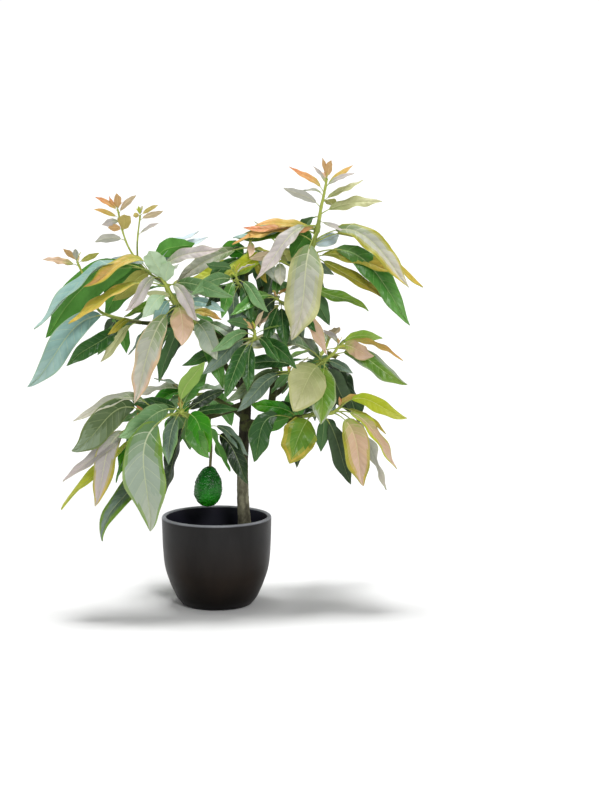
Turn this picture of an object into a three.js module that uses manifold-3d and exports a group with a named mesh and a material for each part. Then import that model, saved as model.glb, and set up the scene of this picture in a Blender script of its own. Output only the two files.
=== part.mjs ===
// A dwarf avocado tree in an egg-shaped pot: pot, soil, trunk, boughs and masses of foliage.
// Millimetres. X runs to the right, Y away from the front and Z up, from the centre of the pot's foot.
import * as THREE from "three";
import { mergeVertices } from "three/addons/utils/BufferGeometryUtils.js";
import Module from "manifold-3d";

const wasm = await Module();
wasm.setup();

// ---- driving sizes ----
const GAP = 0.3;                  // clear space between neighbouring pieces

const POT_HEIGHT = 61.5;
const POT_FOOT_RADIUS = 21;
const POT_RIM_RADIUS = 37.5;
const POT_WALL = 3;
const POT_FLOOR = 4;
const POT_SIDES = 28;
const POT_OUTLINE = [             // radius and height, up the outside from the foot's edge
  [24, 0.9], [28.2, 6.5], [32.7, 17], [35.6, 27], [36.9, 41], [POT_RIM_RADIUS, POT_HEIGHT - 1.5],
];
const POT_INSIDE_HEIGHTS = [38, 26, 15, 8];
const SOIL_LEVEL = 47.6;          // over its flat middle, where the trunk stands
const SOIL_FLAT_RADIUS = 26;
const SOIL_EDGE_DROP = 1.6;       // from there to the pot's wall

const TRUNK_SIDES = 10;
const LIMB_SIDES = 7;
const TWIG_SIDES = 4;
const LIMB_STEPS = 2;             // rings from one point of a limb's route to the next
const TWIG_STEPS = 1;

const PETIOLE_SHARE = 0.16;       // of a leaf's length, the stalk before its blade
const PETIOLE_RADIUS = 0.55;
const STALK_TAPER = 0.7;          // of that radius, lost as the stalk runs on to the blade's tip
const BLADE_RISE = 0.62;          // powers of the blade's outline, towards its base and its tip
const BLADE_FALL = 0.78;
const LEAF_THICKNESS = 0.015;     // at the midrib, of the leaf's length
const LEAF_MIN_THICKNESS = 0.35;
const TIP_THINNING = 0.6;         // the tip's thickness, of the midrib's
const LEAF_FOLD = 0.22;           // how far the edges rise above the midrib, of the half width
const LEAF_STATIONS = [0, 0.36, 0.7, 1];
const SHORT_LEAF = 60;            // a leaf under this length has fewer stations
const SHORT_STATIONS = [0, 0.5, 1];
const TURNS_ASIDE = [0, 8, -8, 16, -16];  // degrees, for a leaf that has no room
const GOLDEN_SECTION = 0.618034;

const BARK_COLOUR = "#6d5c4b";
const BARK_ROUGHNESS = 0.85;
const LEAF_ROUGHNESS = 0.6;

// The leaves that a shoot's rule adds.
const RULE = {
  stretch: [0.15, 0.98],          // of the shoot, which they are spread over
  rise: [-45, 48],                // degrees above level, at the shoot's foot and at its tip
  shortening: 0.72,               // the last leaf is this share shorter than the longest
  latePower: 1.5,                 // how late along the shoot rise and length change
  slimWidth: 0.23,                // a short leaf's width, of its length
  widthGain: 0.001,               // and what each millimetre of length adds to that
  arch: 0.1,
  spread: { turn: 8, rise: 10, length: 0.12, roll: 25, arch: 0.06 },
};

// ---- the limbs: route in mm, and radius at each end ----
const TRUNK = {
  route: [[19, 0, SOIL_LEVEL + GAP], [19, 0, 56], [18, 1, 74], [18, 1, 100], [20, 1, 136],
    [19, 0, 158], [19, 0, 187], [20, 0, 209], [21, 0, 233]],
  radii: [5.8, 4.6, 4.1, 3.7, 3.9, 3.5, 3, 2.2, 1.5],
};
const BOUGHS = {
  right_limb: {
    route: [[20, 0, 126], [25, 3, 124], [32, 7, 125], [37, 10, 134], [41, 10, 167],
      [47, 6, 195], [54, 2, 216], [59, 0, 226]],
    radii: [3.4, 1.7],
  },
  upper_left_bough: { route: [[19, 0, 166], [6, -10, 182], [-6, -16, 193]], radii: [2.4, 1.6] },
  far_left_bough: {
    route: [[19, 0, 146], [14, 4, 152], [-11, 6, 187], [-34, 2, 192], [-50, -2, 194]],
    radii: [2.4, 1.4],
  },
  lower_left_bough: {
    route: [[19, 0, 138], [5, -8, 134], [-6, -18, 132], [-14, -28, 133]],
    radii: [2.6, 1.7],
  },
  lower_right_bough: {
    route: [[20, 0, 123], [30, -6, 126], [48, -8, 128], [53, -11, 130]],
    radii: [2.4, 1.6],
  },
  right_middle_bough: { route: [[41, 9, 158], [57, 0, 160], [66, -5, 165]], radii: [1.9, 1.4] },
  front_bough: { route: [[19, 0, 172], [22, -14, 179], [25, -24, 184]], radii: [2.1, 1.4] },
  upper_front_bough: { route: [[20, 0, 205], [20, -10, 212], [18, -16, 217]], radii: [1.7, 1.2] },
  back_left_bough: { route: [[19, 0, 162], [6, 14, 174], [-10, 28, 186]], radii: [2.3, 1.5] },
  back_right_bough: { route: [[38, 10, 142], [48, 22, 148], [60, 32, 157]], radii: [2.1, 1.5] },
  back_low_bough: { route: [[19, 0, 129], [12, 16, 132], [0, 30, 137]], radii: [2.3, 1.5] },
  back_top_bough: { route: [[19, 0, 196], [26, 12, 208], [34, 22, 220]], radii: [2, 1.4] },
};

// ---- the masses of foliage ----
// Leaves are placed as they show in the front view, which is seen by an eye in front of the crown and a
// little above it. A place in that view is the X and Z where a line of sight crosses the plane Y = 0.
const EYE = new THREE.Vector3(57, -1494, 351);
const SLIM_BLADE = 0.2;           // a named leaf's least and greatest width, of its length
const BROAD_BLADE = 0.6;

// A shoot has a route, a radius at each end and its named leaves. A leaf is: where it sits on the shoot
// from 0 to 1, its tip's X and Z in the front view, how far the tip lies behind its root, how much of its
// width shows from the front, and how far it arches, of its length. A shoot's rule adds leaves in
// directions that the golden section spreads: how many, from which direction to which in degrees (0 is +X,
// 90 is +Y), and the longest one's length.
const MASSES = {
  leader_foliage: {
    colour: "#8d9366",
    shoots: [
      {
        route: [
          [59, 0, 226], [65, -2, 244], [69, -2, 259], [71, -2, 271], [73, -2, 280], [75, -2, 291],
        ],
        radii: [1.6, 0.7],
        leaves: [
          [0.26, 131, 220, -30, 12, 0.22], [0.24, 141, 221, 12, 9, 0.2], [0.15, 133, 195, -15, 15, 0.19],
          [0.16, 120, 209, -10, 7, 0], [0.36, 51, 182, -30, 25, 0.1], [0.4, 27, 224, -28, 9, 0.16],
          [0.4, 27, 261, -8, 5, 0.01], [0.38, 11, 249, -4, 6, 0.05], [0.45, 90, 255, -10, 3, 0.05],
          [0.52, 112, 276, -4, 7, 0.08], [0.6, 46, 285, -6, 6, 0.08], [0.82, 50, 299, -3, 4, 0.06],
          [0.68, 99, 290, 3, 4, 0.06], [0.88, 93, 295, -4, 3, 0.05], [0.88, 92, 300, 4, 3, 0.05],
          [0.95, 66, 299, -2, 2, 0], [1, 72, 304.6, -3, 3, 0], [1, 78, 303, -4, 5, 0],
          [0.2, 83, 254, 12, 9, 0.05], [0.35, 51, 238, 18, 13, 0.05], [0.02, 104, 203, -8, 7, -0.12],
          [0.02, 77, 192, 4, 12, 0], [0.08, 80, 227, 15, 6, 0.1], [0.1, 120, 229, -12, 8, 0.12],
          [0.36, 12, 251, 6, 7, 0.05], [0.32, 19, 258, 3, 4, 0.08], [0.25, 13, 251, 8, 9, 0.1],
          [0.4, 53, 255, -4, 4, 0.05],
        ],
        rule: [6, 60, 160, 50],
      },
      {
        route: [
          [59, 0, 227], [51, -1, 232], [41, -3, 237],
        ],
        radii: [1, 0.7],
        leaves: [
          [1, 3, 225, -10, 11, 0.12], [0.9, 44, 219, -16, 8, 0.05], [0.9, 23, 238, -12, 6, 0.15],
        ],
      },
    ],
  },
  top_centre_foliage: {
    colour: "#93a94a",
    shoots: [
      {
        route: [
          [21, 0, 233], [22, -1, 241], [24, -2, 250],
        ],
        radii: [1.4, 0.8],
        leaves: [
          [0.05, -19, 222, -12, 7, 0.08], [0.3, 5, 246, 14, 12, 0.05], [0.7, -27, 221, 8, 10, 0.04],
          [0.25, -7, 217, -20, 8, 0.1], [0.15, 14, 210, -15, 8, 0.1], [1, 23, 238, -11, 5, 0.05],
          [0.75, 44, 221, -12, 8, 0.1], [0.3, 35, 221, -10, 6, 0.1],
        ],
        rule: [7, 10, 170, 42],
      },
    ],
  },
  inner_left_foliage: {
    colour: "#3d6e33",
    shoots: [
      {
        route: [
          [18, -16, 217], [16, -20, 222], [14, -23, 229],
        ],
        radii: [0.9, 0.6],
        leaves: [
          [0.5, -16, 214, -24, 9, 0.12], [0.3, -7, 206, -18, 8, 0.1], [0.8, 4, 197, -18, 8, 0.1],
          [0.6, 25, 195, -12, 9, 0.08], [0.7, 36, 202, -16, 8, 0.1], [0.4, 11, 189, -14, 8, 0.06],
          [1, -6, 234, -20, 6, 0.1],
        ],
        rule: [4, 0, 180, 40],
      },
    ],
  },
  inner_right_foliage: {
    colour: "#4a7a3c",
    shoots: [
      {
        route: [
          [50, 2, 203], [45, -9, 208], [41, -15, 212],
        ],
        radii: [0.9, 0.6],
        leaves: [
          [0.9, 10, 199, -26, 7, 0.14], [1, 10, 191, -20, 6, 0.1], [0.6, 32, 178, -14, 8, 0.08],
          [1, 29, 191, -8, 4, 0.05], [0.35, 29, 192, -12, 4, 0.1], [0.5, 68, 188, -13, 8, 0.1],
          [0.6, 48, 177, -14, 9, 0.05], [0.7, 76, 173, -10, 8, 0.08], [0.9, 42, 226, 9, 6, 0.05],
          [0.2, 59, 181, 16, 8, 0.1], [0.8, 27, 196, -20, 9, 0.1], [0.6, 22, 206, -14, 9, 0.12],
        ],
        rule: [4, 0, 180, 40],
      },
    ],
  },
  upper_left_foliage: {
    colour: "#9aa878",
    shoots: [
      {
        route: [
          [-6, -16, 193], [-17, -20, 198], [-25, -24, 210], [-32, -26, 222], [-39, -24, 233],
        ],
        radii: [1.5, 0.8],
        leaves: [
          [0.45, -56, 139, -33, 16, 0.17], [0.5, -23, 178, -20, 15, 0.12], [0.75, -12, 195, -18, 9, 0.18],
          [0.2, 1, 169, -26, 14, 0.16], [0.85, -61, 202, -28, 8, 0.15], [0.6, -50, 198, -12, 10, 0.1],
          [0.75, -44, 243, -18, 14, 0.06], [0.7, -100, 195, -20, 4, 0.14], [0.95, -89, 219, -14, 6, 0.2],
          [0.9, -70, 210, 14, 11, 0.12], [0.95, -14, 248, -2, 12, 0.3], [0.88, 4, 244, -8, 8, 0.16],
          [0.5, -62, 198, 12, 6, 0.1], [0.35, -40, 154, 16, 9, 0.02], [0.15, 5, 149, -20, 11, 0.05],
          [0.08, 19, 180, -16, 6, 0.14], [0.9, -116, 186, 20, 22, 0.16], [0.85, -75, 199, 28, 20, 0.2],
          [0.42, -60, 173, 16, 5, 0.04], [0.55, -48, 215, -10, 5, 0.05], [0.55, -44, 189, -12, 9, 0.1],
          [0.72, -31, 236, -14, 10, 0.05], [0.72, 12, 212, -22, 10, 0.08], [0.3, 4, 197, -17, 4, 0.1],
          [0.45, 6, 202, -17, 6, 0.1], [0.08, 23, 169, -10, 8, 0.1], [0.3, -30, 171, 28, 8, 0.08],
          [0.95, -12, 257, 18, 5, 0.16], [0.92, -5, 252, 14, 5, 0.08],
        ],
        rule: [7, 20, 160, 50],
      },
      {
        route: [
          [-32, -26, 222], [-43, -22, 229], [-51, -18, 237], [-57, -17, 246], [-61, -16, 257],
          [-64, -16, 271],
        ],
        radii: [0.9, 0.5],
        leaves: [
          [0.25, -123, 190, -20, 5, 0.19], [0.2, -76, 235, 6, 6, 0.15], [1, -66, 281, -6, 5, 0],
          [0.97, -80, 279, -3, 3, 0.05], [1, -71, 279, -2, 2, 0], [0.92, -81, 271, -3, 3, 0.06],
          [0.87, -76, 260, -5, 5, 0.1], [0.8, -72, 258, -4, 5, 0.05], [0.68, -81, 249, -3, 6, 0.1],
          [0.78, -61, 267, -9, 10, 0], [0.95, -53, 280, -2, 4, 0.05],
        ],
      },
      {
        route: [
          [-51, -18, 237], [-51, -18, 250], [-49, -18, 267],
        ],
        radii: [0.7, 0.5],
        leaves: [
          [1, -38, 273, -2, 3, 0.05], [0.9, -35, 270, -3, 4, 0.06], [0.62, -38, 261, -8, 2, 0.05],
          [1, -49, 273, 4, 2, 0], [1, -55, 266, -4, 5, 0.05],
        ],
      },
    ],
  },
  far_left_foliage: {
    colour: "#86a18c",
    shoots: [
      {
        route: [
          [-50, -2, 194], [-64, -5, 197], [-77, -8, 202], [-82, -10, 212], [-90, -12, 232], [-92, -12, 236],
        ],
        radii: [1.3, 0.6],
        leaves: [
          [0.82, -116, 237, -14, 4, 0.02], [0.97, -102, 244, -10, 4, 0.05], [1, -94, 244, -8, 4, 0],
          [0.9, -78, 241, -4, 4, 0.02], [0.15, -128, 150, -28, 17, 0.21], [0.15, -102, 166, -28, 12, -0.02],
          [0.03, -78, 167, -18, 6, 0.1], [0.06, -73, 186, -17, 5, 0.1], [0.2, -74, 180, 20, 10, 0.1],
          [0.1, -80, 172, 24, 8, 0.06],
        ],
        rule: [3, 30, 150, 36],
      },
    ],
  },
  lower_left_foliage: {
    colour: "#7b9b56",
    shoots: [
      {
        route: [
          [-14, -28, 133], [-20, -36, 136], [-22, -40, 140],
        ],
        radii: [1.6, 1],
        leaves: [
          [1, -8, 168, -26, 10, 0.05], [0.95, -67, 117, -18, 15, 0.12], [0.9, -48, 51, -20, 27, 0.24],
          [0.9, -33, 97, -14, 10, 0.08], [0.8, -4, 105, -16, 17, 0.14], [0.75, -5, 101, -18, 13, 0.06],
          [0.3, -36, 75, 22, 8, 0], [0.9, -6, 160, 14, 10, 0.06], [0.5, 6, 149, 4, 8, 0.1],
          [0.9, -48, 143, 22, 6, 0.06], [0.2, 15, 136, -6, 6, 0.12],
        ],
        rule: [5, 10, 120, 48],
      },
      {
        route: [
          [-20, -36, 136], [-30, -42, 137], [-42, -44, 134], [-52, -40, 130],
        ],
        radii: [1.2, 0.8],
        leaves: [
          [0.5, -97, 129, -12, 5, 0.22], [0.6, -99, 107, -14, 19, 0.25], [0.8, -105, 85, -10, 6, 0],
          [0.9, -84, 68, -10, 14, 0.11], [0.95, -108, 67, 8, 4, -0.05], [1, -81, 44, -8, 13, -0.2],
          [0.85, -70, 85, 10, 6, 0], [0.4, -57, 142, 24, 8, 0.1],
        ],
        rule: [3, 40, 150, 44],
      },
    ],
  },
  centre_foliage: {
    colour: "#3f6b34",
    shoots: [
      {
        route: [
          [25, -24, 184], [27, -30, 187], [27, -33, 192],
        ],
        radii: [1.3, 0.8],
        leaves: [
          [1, 19, 197, -5, 3, 0], [1, 32, 202, -5, 3, 0], [0.45, 5, 142, -28, 11, 0.08],
          [0.3, 55, 164, -22, 10, 0.1], [0.4, 19, 210, 6, 7, 0.05], [0.5, -10, 160, -14, 10, 0.1],
          [0.6, -3, 175, -18, 8, 0.1], [0.4, 44, 168, -24, 7, 0.1], [0.5, 21, 147, -14, 9, 0.05],
          [0.6, 8, 196, -16, 7, 0.1], [0.35, -23, 165, 6, 10, 0.08],
        ],
        rule: [5, 0, 180, 42],
      },
    ],
  },
  right_middle_foliage: {
    colour: "#8da067",
    shoots: [
      {
        route: [
          [66, -5, 165], [72, -8, 168], [80, -12, 175], [83, -13, 180],
        ],
        radii: [1.3, 0.7],
        leaves: [
          [0.38, 52, 134, -30, 27, 0.06], [0.42, 71, 125, -22, 18, 0.08], [1, 107, 171, -14, 11, 0.08],
          [0.9, 113, 183, 16, 7, 0.12], [1, 127, 170, -8, 3, 0.12], [0.5, 130, 152, -14, 12, 0.11],
          [0.4, 93, 160, -14, 6, 0.08], [0.3, 92, 133, 12, 14, 0.04], [0.3, 67, 127, 18, 10, 0.04],
          [0.35, 16, 179, -26, 7, 0.1], [0.3, 58, 184, 12, 8, 0.05],
        ],
        rule: [5, 10, 150, 46],
      },
      {
        route: [
          [66, -5, 165], [58, -12, 163], [50, -16, 161],
        ],
        radii: [0.9, 0.6],
        leaves: [
          [1, 14, 134, -18, 10, 0.1], [0.9, 6, 142, -16, 10, 0.1], [0.5, 12, 165, -12, 9, 0.14],
        ],
        rule: [4, 0, 150, 38],
      },
    ],
  },
  lower_right_foliage: {
    colour: "#8f9a4e",
    shoots: [
      {
        route: [
          [53, -11, 130], [66, -13, 133], [78, -14, 134], [84, -14, 138],
        ],
        radii: [1.5, 0.9],
        leaves: [
          [1, 130, 130, -12, 10, 0.18], [1, 116, 119, -8, 3, 0.06], [0.75, 124, 95, -16, 7, 0.2],
          [0.72, 101, 82, -20, 18, 0.14], [0.85, 116, 79, 10, 5, 0.1], [0.5, 92, 83, 8, 13, 0.06],
          [0.5, 71, 106, 8, 9, 0.04], [0.33, 50, 97, -20, 29, 0.12], [0, 25, 99, -8, 15, 0.3],
          [0.05, 23, 121, 3, 12, 0.06], [0.1, 41, 140, 12, 6, 0.1], [0.05, 23, 139, 2, 10, 0.08],
          [0.3, 54, 95, 10, 10, 0.04],
        ],
        rule: [4, 10, 150, 48],
      },
    ],
  },
  back_left_foliage: {
    colour: "#5f8548",
    shoots: [
      {
        route: [
          [-10, 28, 186], [-24, 38, 196], [-34, 44, 208], [-38, 47, 221],
        ],
        radii: [1.4, 0.8],
        leaves: [],
        rule: [11, -60, 240, 64],
      },
    ],
  },
  back_right_foliage: {
    colour: "#6d8a45",
    shoots: [
      {
        route: [
          [60, 32, 157], [68, 40, 163], [74, 46, 170], [77, 49, 177],
        ],
        radii: [1.4, 0.8],
        leaves: [],
        rule: [11, 20, 340, 62],
      },
    ],
  },
  back_low_foliage: {
    colour: "#5b8a3e",
    shoots: [
      {
        route: [
          [0, 30, 137], [-12, 40, 139], [-21, 44, 139], [-30, 48, 138],
        ],
        radii: [1.4, 0.8],
        leaves: [],
        rule: [12, 30, 250, 62],
      },
    ],
  },
  back_top_foliage: {
    colour: "#7c9650",
    shoots: [
      {
        route: [
          [34, 22, 220], [38, 29, 230], [41, 33, 242], [43, 35, 252],
        ],
        radii: [1.3, 0.8],
        leaves: [],
        rule: [11, -30, 210, 52],
      },
    ],
  },
};

// The fruiting spray hangs from the lower left bough, and carries one young avocado.
const FRUIT_LENGTH = 28;
const FRUIT_RADIUS = 10.5;
const FRUIT_LEAN = 5;             // degrees, its blossom end to the left
const FRUIT_NECK = 0.28;          // how much slimmer it is at its stalk
const FRUIT_STALK_SUNK = 2;       // how far its stalk runs into it
const FRUIT_STEPS = 10;
const FRUIT_SIDES = 16;
const FRUITING_SPRAY = {
  colour: "#2f5c2a",
  shoots: [
    {
      route: [[-6, -18, 132], [-5, -21, 125], [-3, -15, 113], [-4, -8, 95]],
      radii: [1.1, 1],
      leaves: [[0.3, 22, 103, -14, 6, 0.14], [0.45, 22, 84, -18, 12, 0.22]],
    },
  ],
};

// ---- small helpers ----
const radians = THREE.MathUtils.degToRad;
const vector = (point) => new THREE.Vector3(...point);
const curveThrough = (route) => new THREE.CatmullRomCurve3(route.map(vector), false, "catmullrom", 0.5);

// A seeded generator of numbers from 0 to 1.
function seededRandom(seed) {
  let state = seed >>> 0;
  return () => {
    state = (state + 0x6d2b79f5) >>> 0;
    let mixed = Math.imul(state ^ (state >>> 15), state | 1);
    mixed = (mixed + Math.imul(mixed ^ (mixed >>> 7), mixed | 61)) ^ mixed;
    return ((mixed ^ (mixed >>> 14)) >>> 0) / 4294967296;
  };
}

// A radius that falls evenly between the values given along a limb.
function radiusAt(radii, share) {
  const place = share * (radii.length - 1);
  const from = Math.min(Math.floor(place), radii.length - 2);
  return THREE.MathUtils.lerp(radii[from], radii[from + 1], place - from);
}

// ---- from geometry to solids and back ----
function toSolid(geometry) {
  const bare = geometry.clone();
  bare.deleteAttribute("normal");
  bare.deleteAttribute("uv");
  const merged = mergeVertices(bare, 1e-4);
  const mesh = new wasm.Mesh({
    numProp: 3,
    vertProperties: new Float32Array(merged.attributes.position.array),
    triVerts: new Uint32Array(merged.index.array),
  });
  return new wasm.Manifold(mesh);
}

function toGeometry(solid) {
  const mesh = solid.getMesh();
  const geometry = new THREE.BufferGeometry();
  geometry.setAttribute("position", new THREE.BufferAttribute(mesh.vertProperties, 3));
  geometry.setIndex(new THREE.BufferAttribute(mesh.triVerts, 1));
  return geometry;
}

// The largest connected piece of a solid, without the scraps that a cut leaves.
function largestPiece(solid) {
  const pieces = solid.decompose();
  return pieces.reduce((best, piece) => (piece.volume() > best.volume() ? piece : best));
}

// A closed body through rings of points, each counter-clockwise seen from the last ring.
function loft(rings) {
  const sides = rings[0].length;
  const last = (rings.length - 1) * sides;
  const index = [];
  for (let start = 0; start < last; start += sides) {
    for (let side = 0; side < sides; side += 1) {
      const here = start + side;
      const next = start + (side + 1) % sides;
      index.push(here, next, next + sides, here, next + sides, here + sides);
    }
  }
  for (let side = 1; side + 1 < sides; side += 1) {
    index.push(0, side + 1, side, last, last + side, last + side + 1);
  }
  const positions = rings.flat().flatMap((point) => point.toArray());
  const geometry = new THREE.BufferGeometry();
  geometry.setAttribute("position", new THREE.Float32BufferAttribute(positions, 3));
  geometry.setIndex(index);
  return geometry;
}

// A tapering limb along its route, grown all round by a margin.
function limbGeometry(limb, sides, stepsEach, margin = 0) {
  const curve = curveThrough(limb.route);
  const steps = (limb.route.length - 1) * stepsEach;
  const rings = [];
  let across = new THREE.Vector3(0, 1, 0);
  for (let step = 0; step <= steps; step += 1) {
    const share = step / steps;
    const centre = curve.getPoint(share);
    const along = curve.getTangent(share);
    across = across.clone().addScaledVector(along, -across.dot(along)).normalize();
    const other = new THREE.Vector3().crossVectors(along, across);
    const radius = radiusAt(limb.radii, share) + margin;
    const ring = [];
    for (let side = 0; side < sides; side += 1) {
      const angle = (side / sides) * 2 * Math.PI;
      const point = centre.clone().addScaledVector(across, radius * Math.cos(angle));
      ring.push(point.addScaledVector(other, radius * Math.sin(angle)));
    }
    rings.push(ring);
  }
  return loft(rings);
}

// ---- leaves ----
// Half the blade's width along it, from 0 at its base to 0 at its tip, and 1 where it is widest.
function bladeShape(share) {
  const widest = BLADE_RISE / (BLADE_RISE + BLADE_FALL);
  const shape = (s) => s ** BLADE_RISE * (1 - s) ** BLADE_FALL;
  return shape(share) / shape(widest);
}

// A leaf rises from its root and then droops: 0 at both ends, and 1 a third of the way along.
const archShape = (share) => 6.75 * share * (1 - share) ** 2;

// A leaf's own directions: along it, level to its left, and upright.
function leafAxes(azimuth, rise) {
  const [turn, lift] = [azimuth, rise].map(radians);
  const along = vector([Math.cos(lift) * Math.cos(turn), Math.cos(lift) * Math.sin(turn), Math.sin(lift)]);
  const level = vector([-Math.sin(turn), Math.cos(turn), 0]);
  return { along, level, upright: new THREE.Vector3().crossVectors(along, level) };
}

// A leaf as a folded blade on a stalk, its root on the shoot's axis, grown by a margin. Its row is: its
// place on the shoot, its direction and rise in degrees, length, width, roll about its own length, and arch.
function leafGeometry(root, row, margin = 0) {
  const [, azimuth, rise, length, width, roll, arch] = row;
  const { along, level, upright } = leafAxes(azimuth, rise);
  const twist = radians(roll);
  const left = level.clone().multiplyScalar(Math.cos(twist)).addScaledVector(upright, Math.sin(twist));
  const face = new THREE.Vector3().crossVectors(along, left);
  const thick = Math.max(LEAF_MIN_THICKNESS, LEAF_THICKNESS * length) / 2 + margin;
  const stations = length < SHORT_LEAF ? SHORT_STATIONS : LEAF_STATIONS;
  const rings = stations.map((share) => {
    const blade = Math.max(0, (share - PETIOLE_SHARE) / (1 - PETIOLE_SHARE));
    const stalk = PETIOLE_RADIUS * (1 - STALK_TAPER * blade);
    const half = Math.max(stalk, bladeShape(blade) * width / 2) + margin;
    const fold = blade > 0 && blade < 1 ? LEAF_FOLD * half : 0;
    const middle = root.clone().addScaledVector(along, share * length);
    middle.addScaledVector(upright, arch * length * archShape(share));
    const edge = (side) => middle.clone().addScaledVector(left, side * half).addScaledVector(face, fold);
    const depth = share < 1 ? thick : thick * TIP_THINNING;
    const above = middle.clone().addScaledVector(face, depth);
    const below = middle.clone().addScaledVector(face, -depth);
    return [edge(1), above, edge(-1), below];
  });
  return loft(rings);
}

// The place at a depth Y that shows at an X and Z of the front view.
function seenAt(x, z, depth) {
  return vector([x, 0, z]).sub(EYE).multiplyScalar(1 - depth / EYE.y).add(EYE);
}

// The roll, between a quarter turn either way, that shows a share of a leaf's width from the front. Of the
// two that do, it is the one that turns the leaf's upper face more to the front.
function rollThatShows(share, { along, level, upright }) {
  const across = vector([-along.z, 0, along.x]).normalize();
  const [flat, steep] = [level.dot(across), upright.dot(across)];
  const fullest = Math.atan2(steep, flat);
  const aside = Math.acos(Math.min(1, share / Math.hypot(flat, steep)));
  const rolls = [fullest + aside, fullest - aside].map((roll) => Math.atan(Math.tan(roll)));
  const towardsFront = (roll) => level.y * Math.sin(roll) - upright.y * Math.cos(roll);
  return THREE.MathUtils.radToDeg(rolls.reduce((a, b) => (towardsFront(a) > towardsFront(b) + 0.01 ? a : b)));
}

// The row of a named leaf.
function namedLeaf([at, x, z, behind, shown, arch], root) {
  const reach = seenAt(x, z, root.y + behind).sub(root);
  const length = reach.length();
  const width = THREE.MathUtils.clamp(shown, SLIM_BLADE * length, BROAD_BLADE * length);
  const azimuth = THREE.MathUtils.radToDeg(Math.atan2(reach.y, reach.x));
  const rise = THREE.MathUtils.radToDeg(Math.asin(reach.z / length));
  return [at, azimuth, rise, length, width, rollThatShows(shown / width, leafAxes(azimuth, rise)), arch];
}

// The rows that a shoot's rule adds: drooping and long at its foot, raised and short at its tip.
function ruleLeaves([count, from, to, longest], random) {
  const { stretch, rise, shortening, latePower, slimWidth, widthGain, arch, spread } = RULE;
  const vary = (size) => (random() - 0.5) * 2 * size;
  return Array.from({ length: count }, (_, index) => {
    const place = (index + 0.5) / count;
    const age = place ** latePower;
    const spiral = (GOLDEN_SECTION * (index + 0.5)) % 1;
    const turn = from + (to - from) * spiral + vary(spread.turn);
    const lift = THREE.MathUtils.lerp(...rise, age) + vary(spread.rise);
    const length = longest * (1 - shortening * age) * (1 + vary(spread.length));
    const width = length * (slimWidth + widthGain * length);
    const at = THREE.MathUtils.lerp(...stretch, place);
    return [at, turn, lift, length, width, vary(spread.roll), arch + vary(spread.arch)];
  });
}

// ---- pot and soil ----
const flatPoint = ([radius, height]) => new THREE.Vector2(radius, height);
const potOutside = new THREE.SplineCurve(POT_OUTLINE.map(flatPoint)).getPoints(10);

function potRadiusAt(height) {
  const next = Math.max(1, potOutside.findIndex((point) => point.y >= height));
  const [below, above] = [potOutside[next - 1], potOutside[next]];
  return THREE.MathUtils.mapLinear(height, below.y, above.y, below.x, above.x);
}

// The inner wall's profile from a height down to the middle of the floor, moved inwards by a gap.
function insideProfile(top, gap) {
  const heights = [top, ...POT_INSIDE_HEIGHTS, POT_FLOOR + gap];
  const wall = heights.map((height) => flatPoint([potRadiusAt(height) - POT_WALL - gap, height]));
  return [...wall, flatPoint([0, POT_FLOOR + gap])];
}

function potGeometry() {
  const lipRadius = POT_WALL / 2;
  const lip = [36, 72, 108, 144].map(radians).map((angle) => flatPoint([
    POT_RIM_RADIUS + lipRadius * (Math.cos(angle) - 1),
    POT_HEIGHT + lipRadius * (Math.sin(angle) - 1),
  ]));
  const foot = [flatPoint([0, 0]), flatPoint([POT_FOOT_RADIUS, 0])];
  const inside = insideProfile(POT_HEIGHT - lipRadius, 0);
  return new THREE.LatheGeometry([...foot, ...potOutside, ...lip, ...inside], POT_SIDES);
}

function soilGeometry() {
  const top = [flatPoint([0, SOIL_LEVEL]), flatPoint([SOIL_FLAT_RADIUS, SOIL_LEVEL])];
  const wall = insideProfile(SOIL_LEVEL - SOIL_EDGE_DROP, GAP);
  return new THREE.LatheGeometry([...top, ...wall].reverse(), POT_SIDES);
}

// A pear-shaped fruit hanging from the end of its stalk.
function fruitGeometry(top) {
  const profile = Array.from({ length: FRUIT_STEPS + 1 }, (_, step) => {
    const angle = (step / FRUIT_STEPS) * Math.PI;
    const neck = 1 - FRUIT_NECK * Math.cos(angle / 2) ** 3;
    const radius = FRUIT_RADIUS * Math.sin(angle) * neck;
    return flatPoint([radius, -FRUIT_LENGTH / 2 * (1 - Math.cos(angle))]);
  }).reverse();
  return new THREE.LatheGeometry(profile, FRUIT_SIDES)
    .rotateX(Math.PI / 2)
    .rotateY(radians(FRUIT_LEAN))
    .translate(...top);
}

// ---- the whole plant ----
const plant = new THREE.Group();
plant.name = "avocado_tree_in_pot";

function addPart(name, geometry, colour, roughness) {
  const material = new THREE.MeshStandardMaterial({ color: colour, roughness, metalness: 0 });
  const mesh = new THREE.Mesh(geometry, material);
  mesh.name = name;
  plant.add(mesh);
}

const upright = (geometry) => geometry.rotateX(Math.PI / 2);
addPart("pot", upright(potGeometry()), "#2b2a2b", 0.35);
addPart("soil", upright(soilGeometry()), "#2a211b", 1);

// Each limb is cut clear of the limbs made before it, so it starts at their bark.
let allLimbs = toSolid(limbGeometry(TRUNK, TRUNK_SIDES, LIMB_STEPS, GAP));
addPart("trunk", limbGeometry(TRUNK, TRUNK_SIDES, LIMB_STEPS), BARK_COLOUR, BARK_ROUGHNESS);
for (const [name, bough] of Object.entries(BOUGHS)) {
  const solid = toSolid(limbGeometry(bough, LIMB_SIDES, LIMB_STEPS)).subtract(allLimbs);
  addPart(name, toGeometry(largestPiece(solid)), BARK_COLOUR, BARK_ROUGHNESS);
  allLimbs = allLimbs.add(toSolid(limbGeometry(bough, LIMB_SIDES, LIMB_STEPS, GAP)));
}

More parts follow.
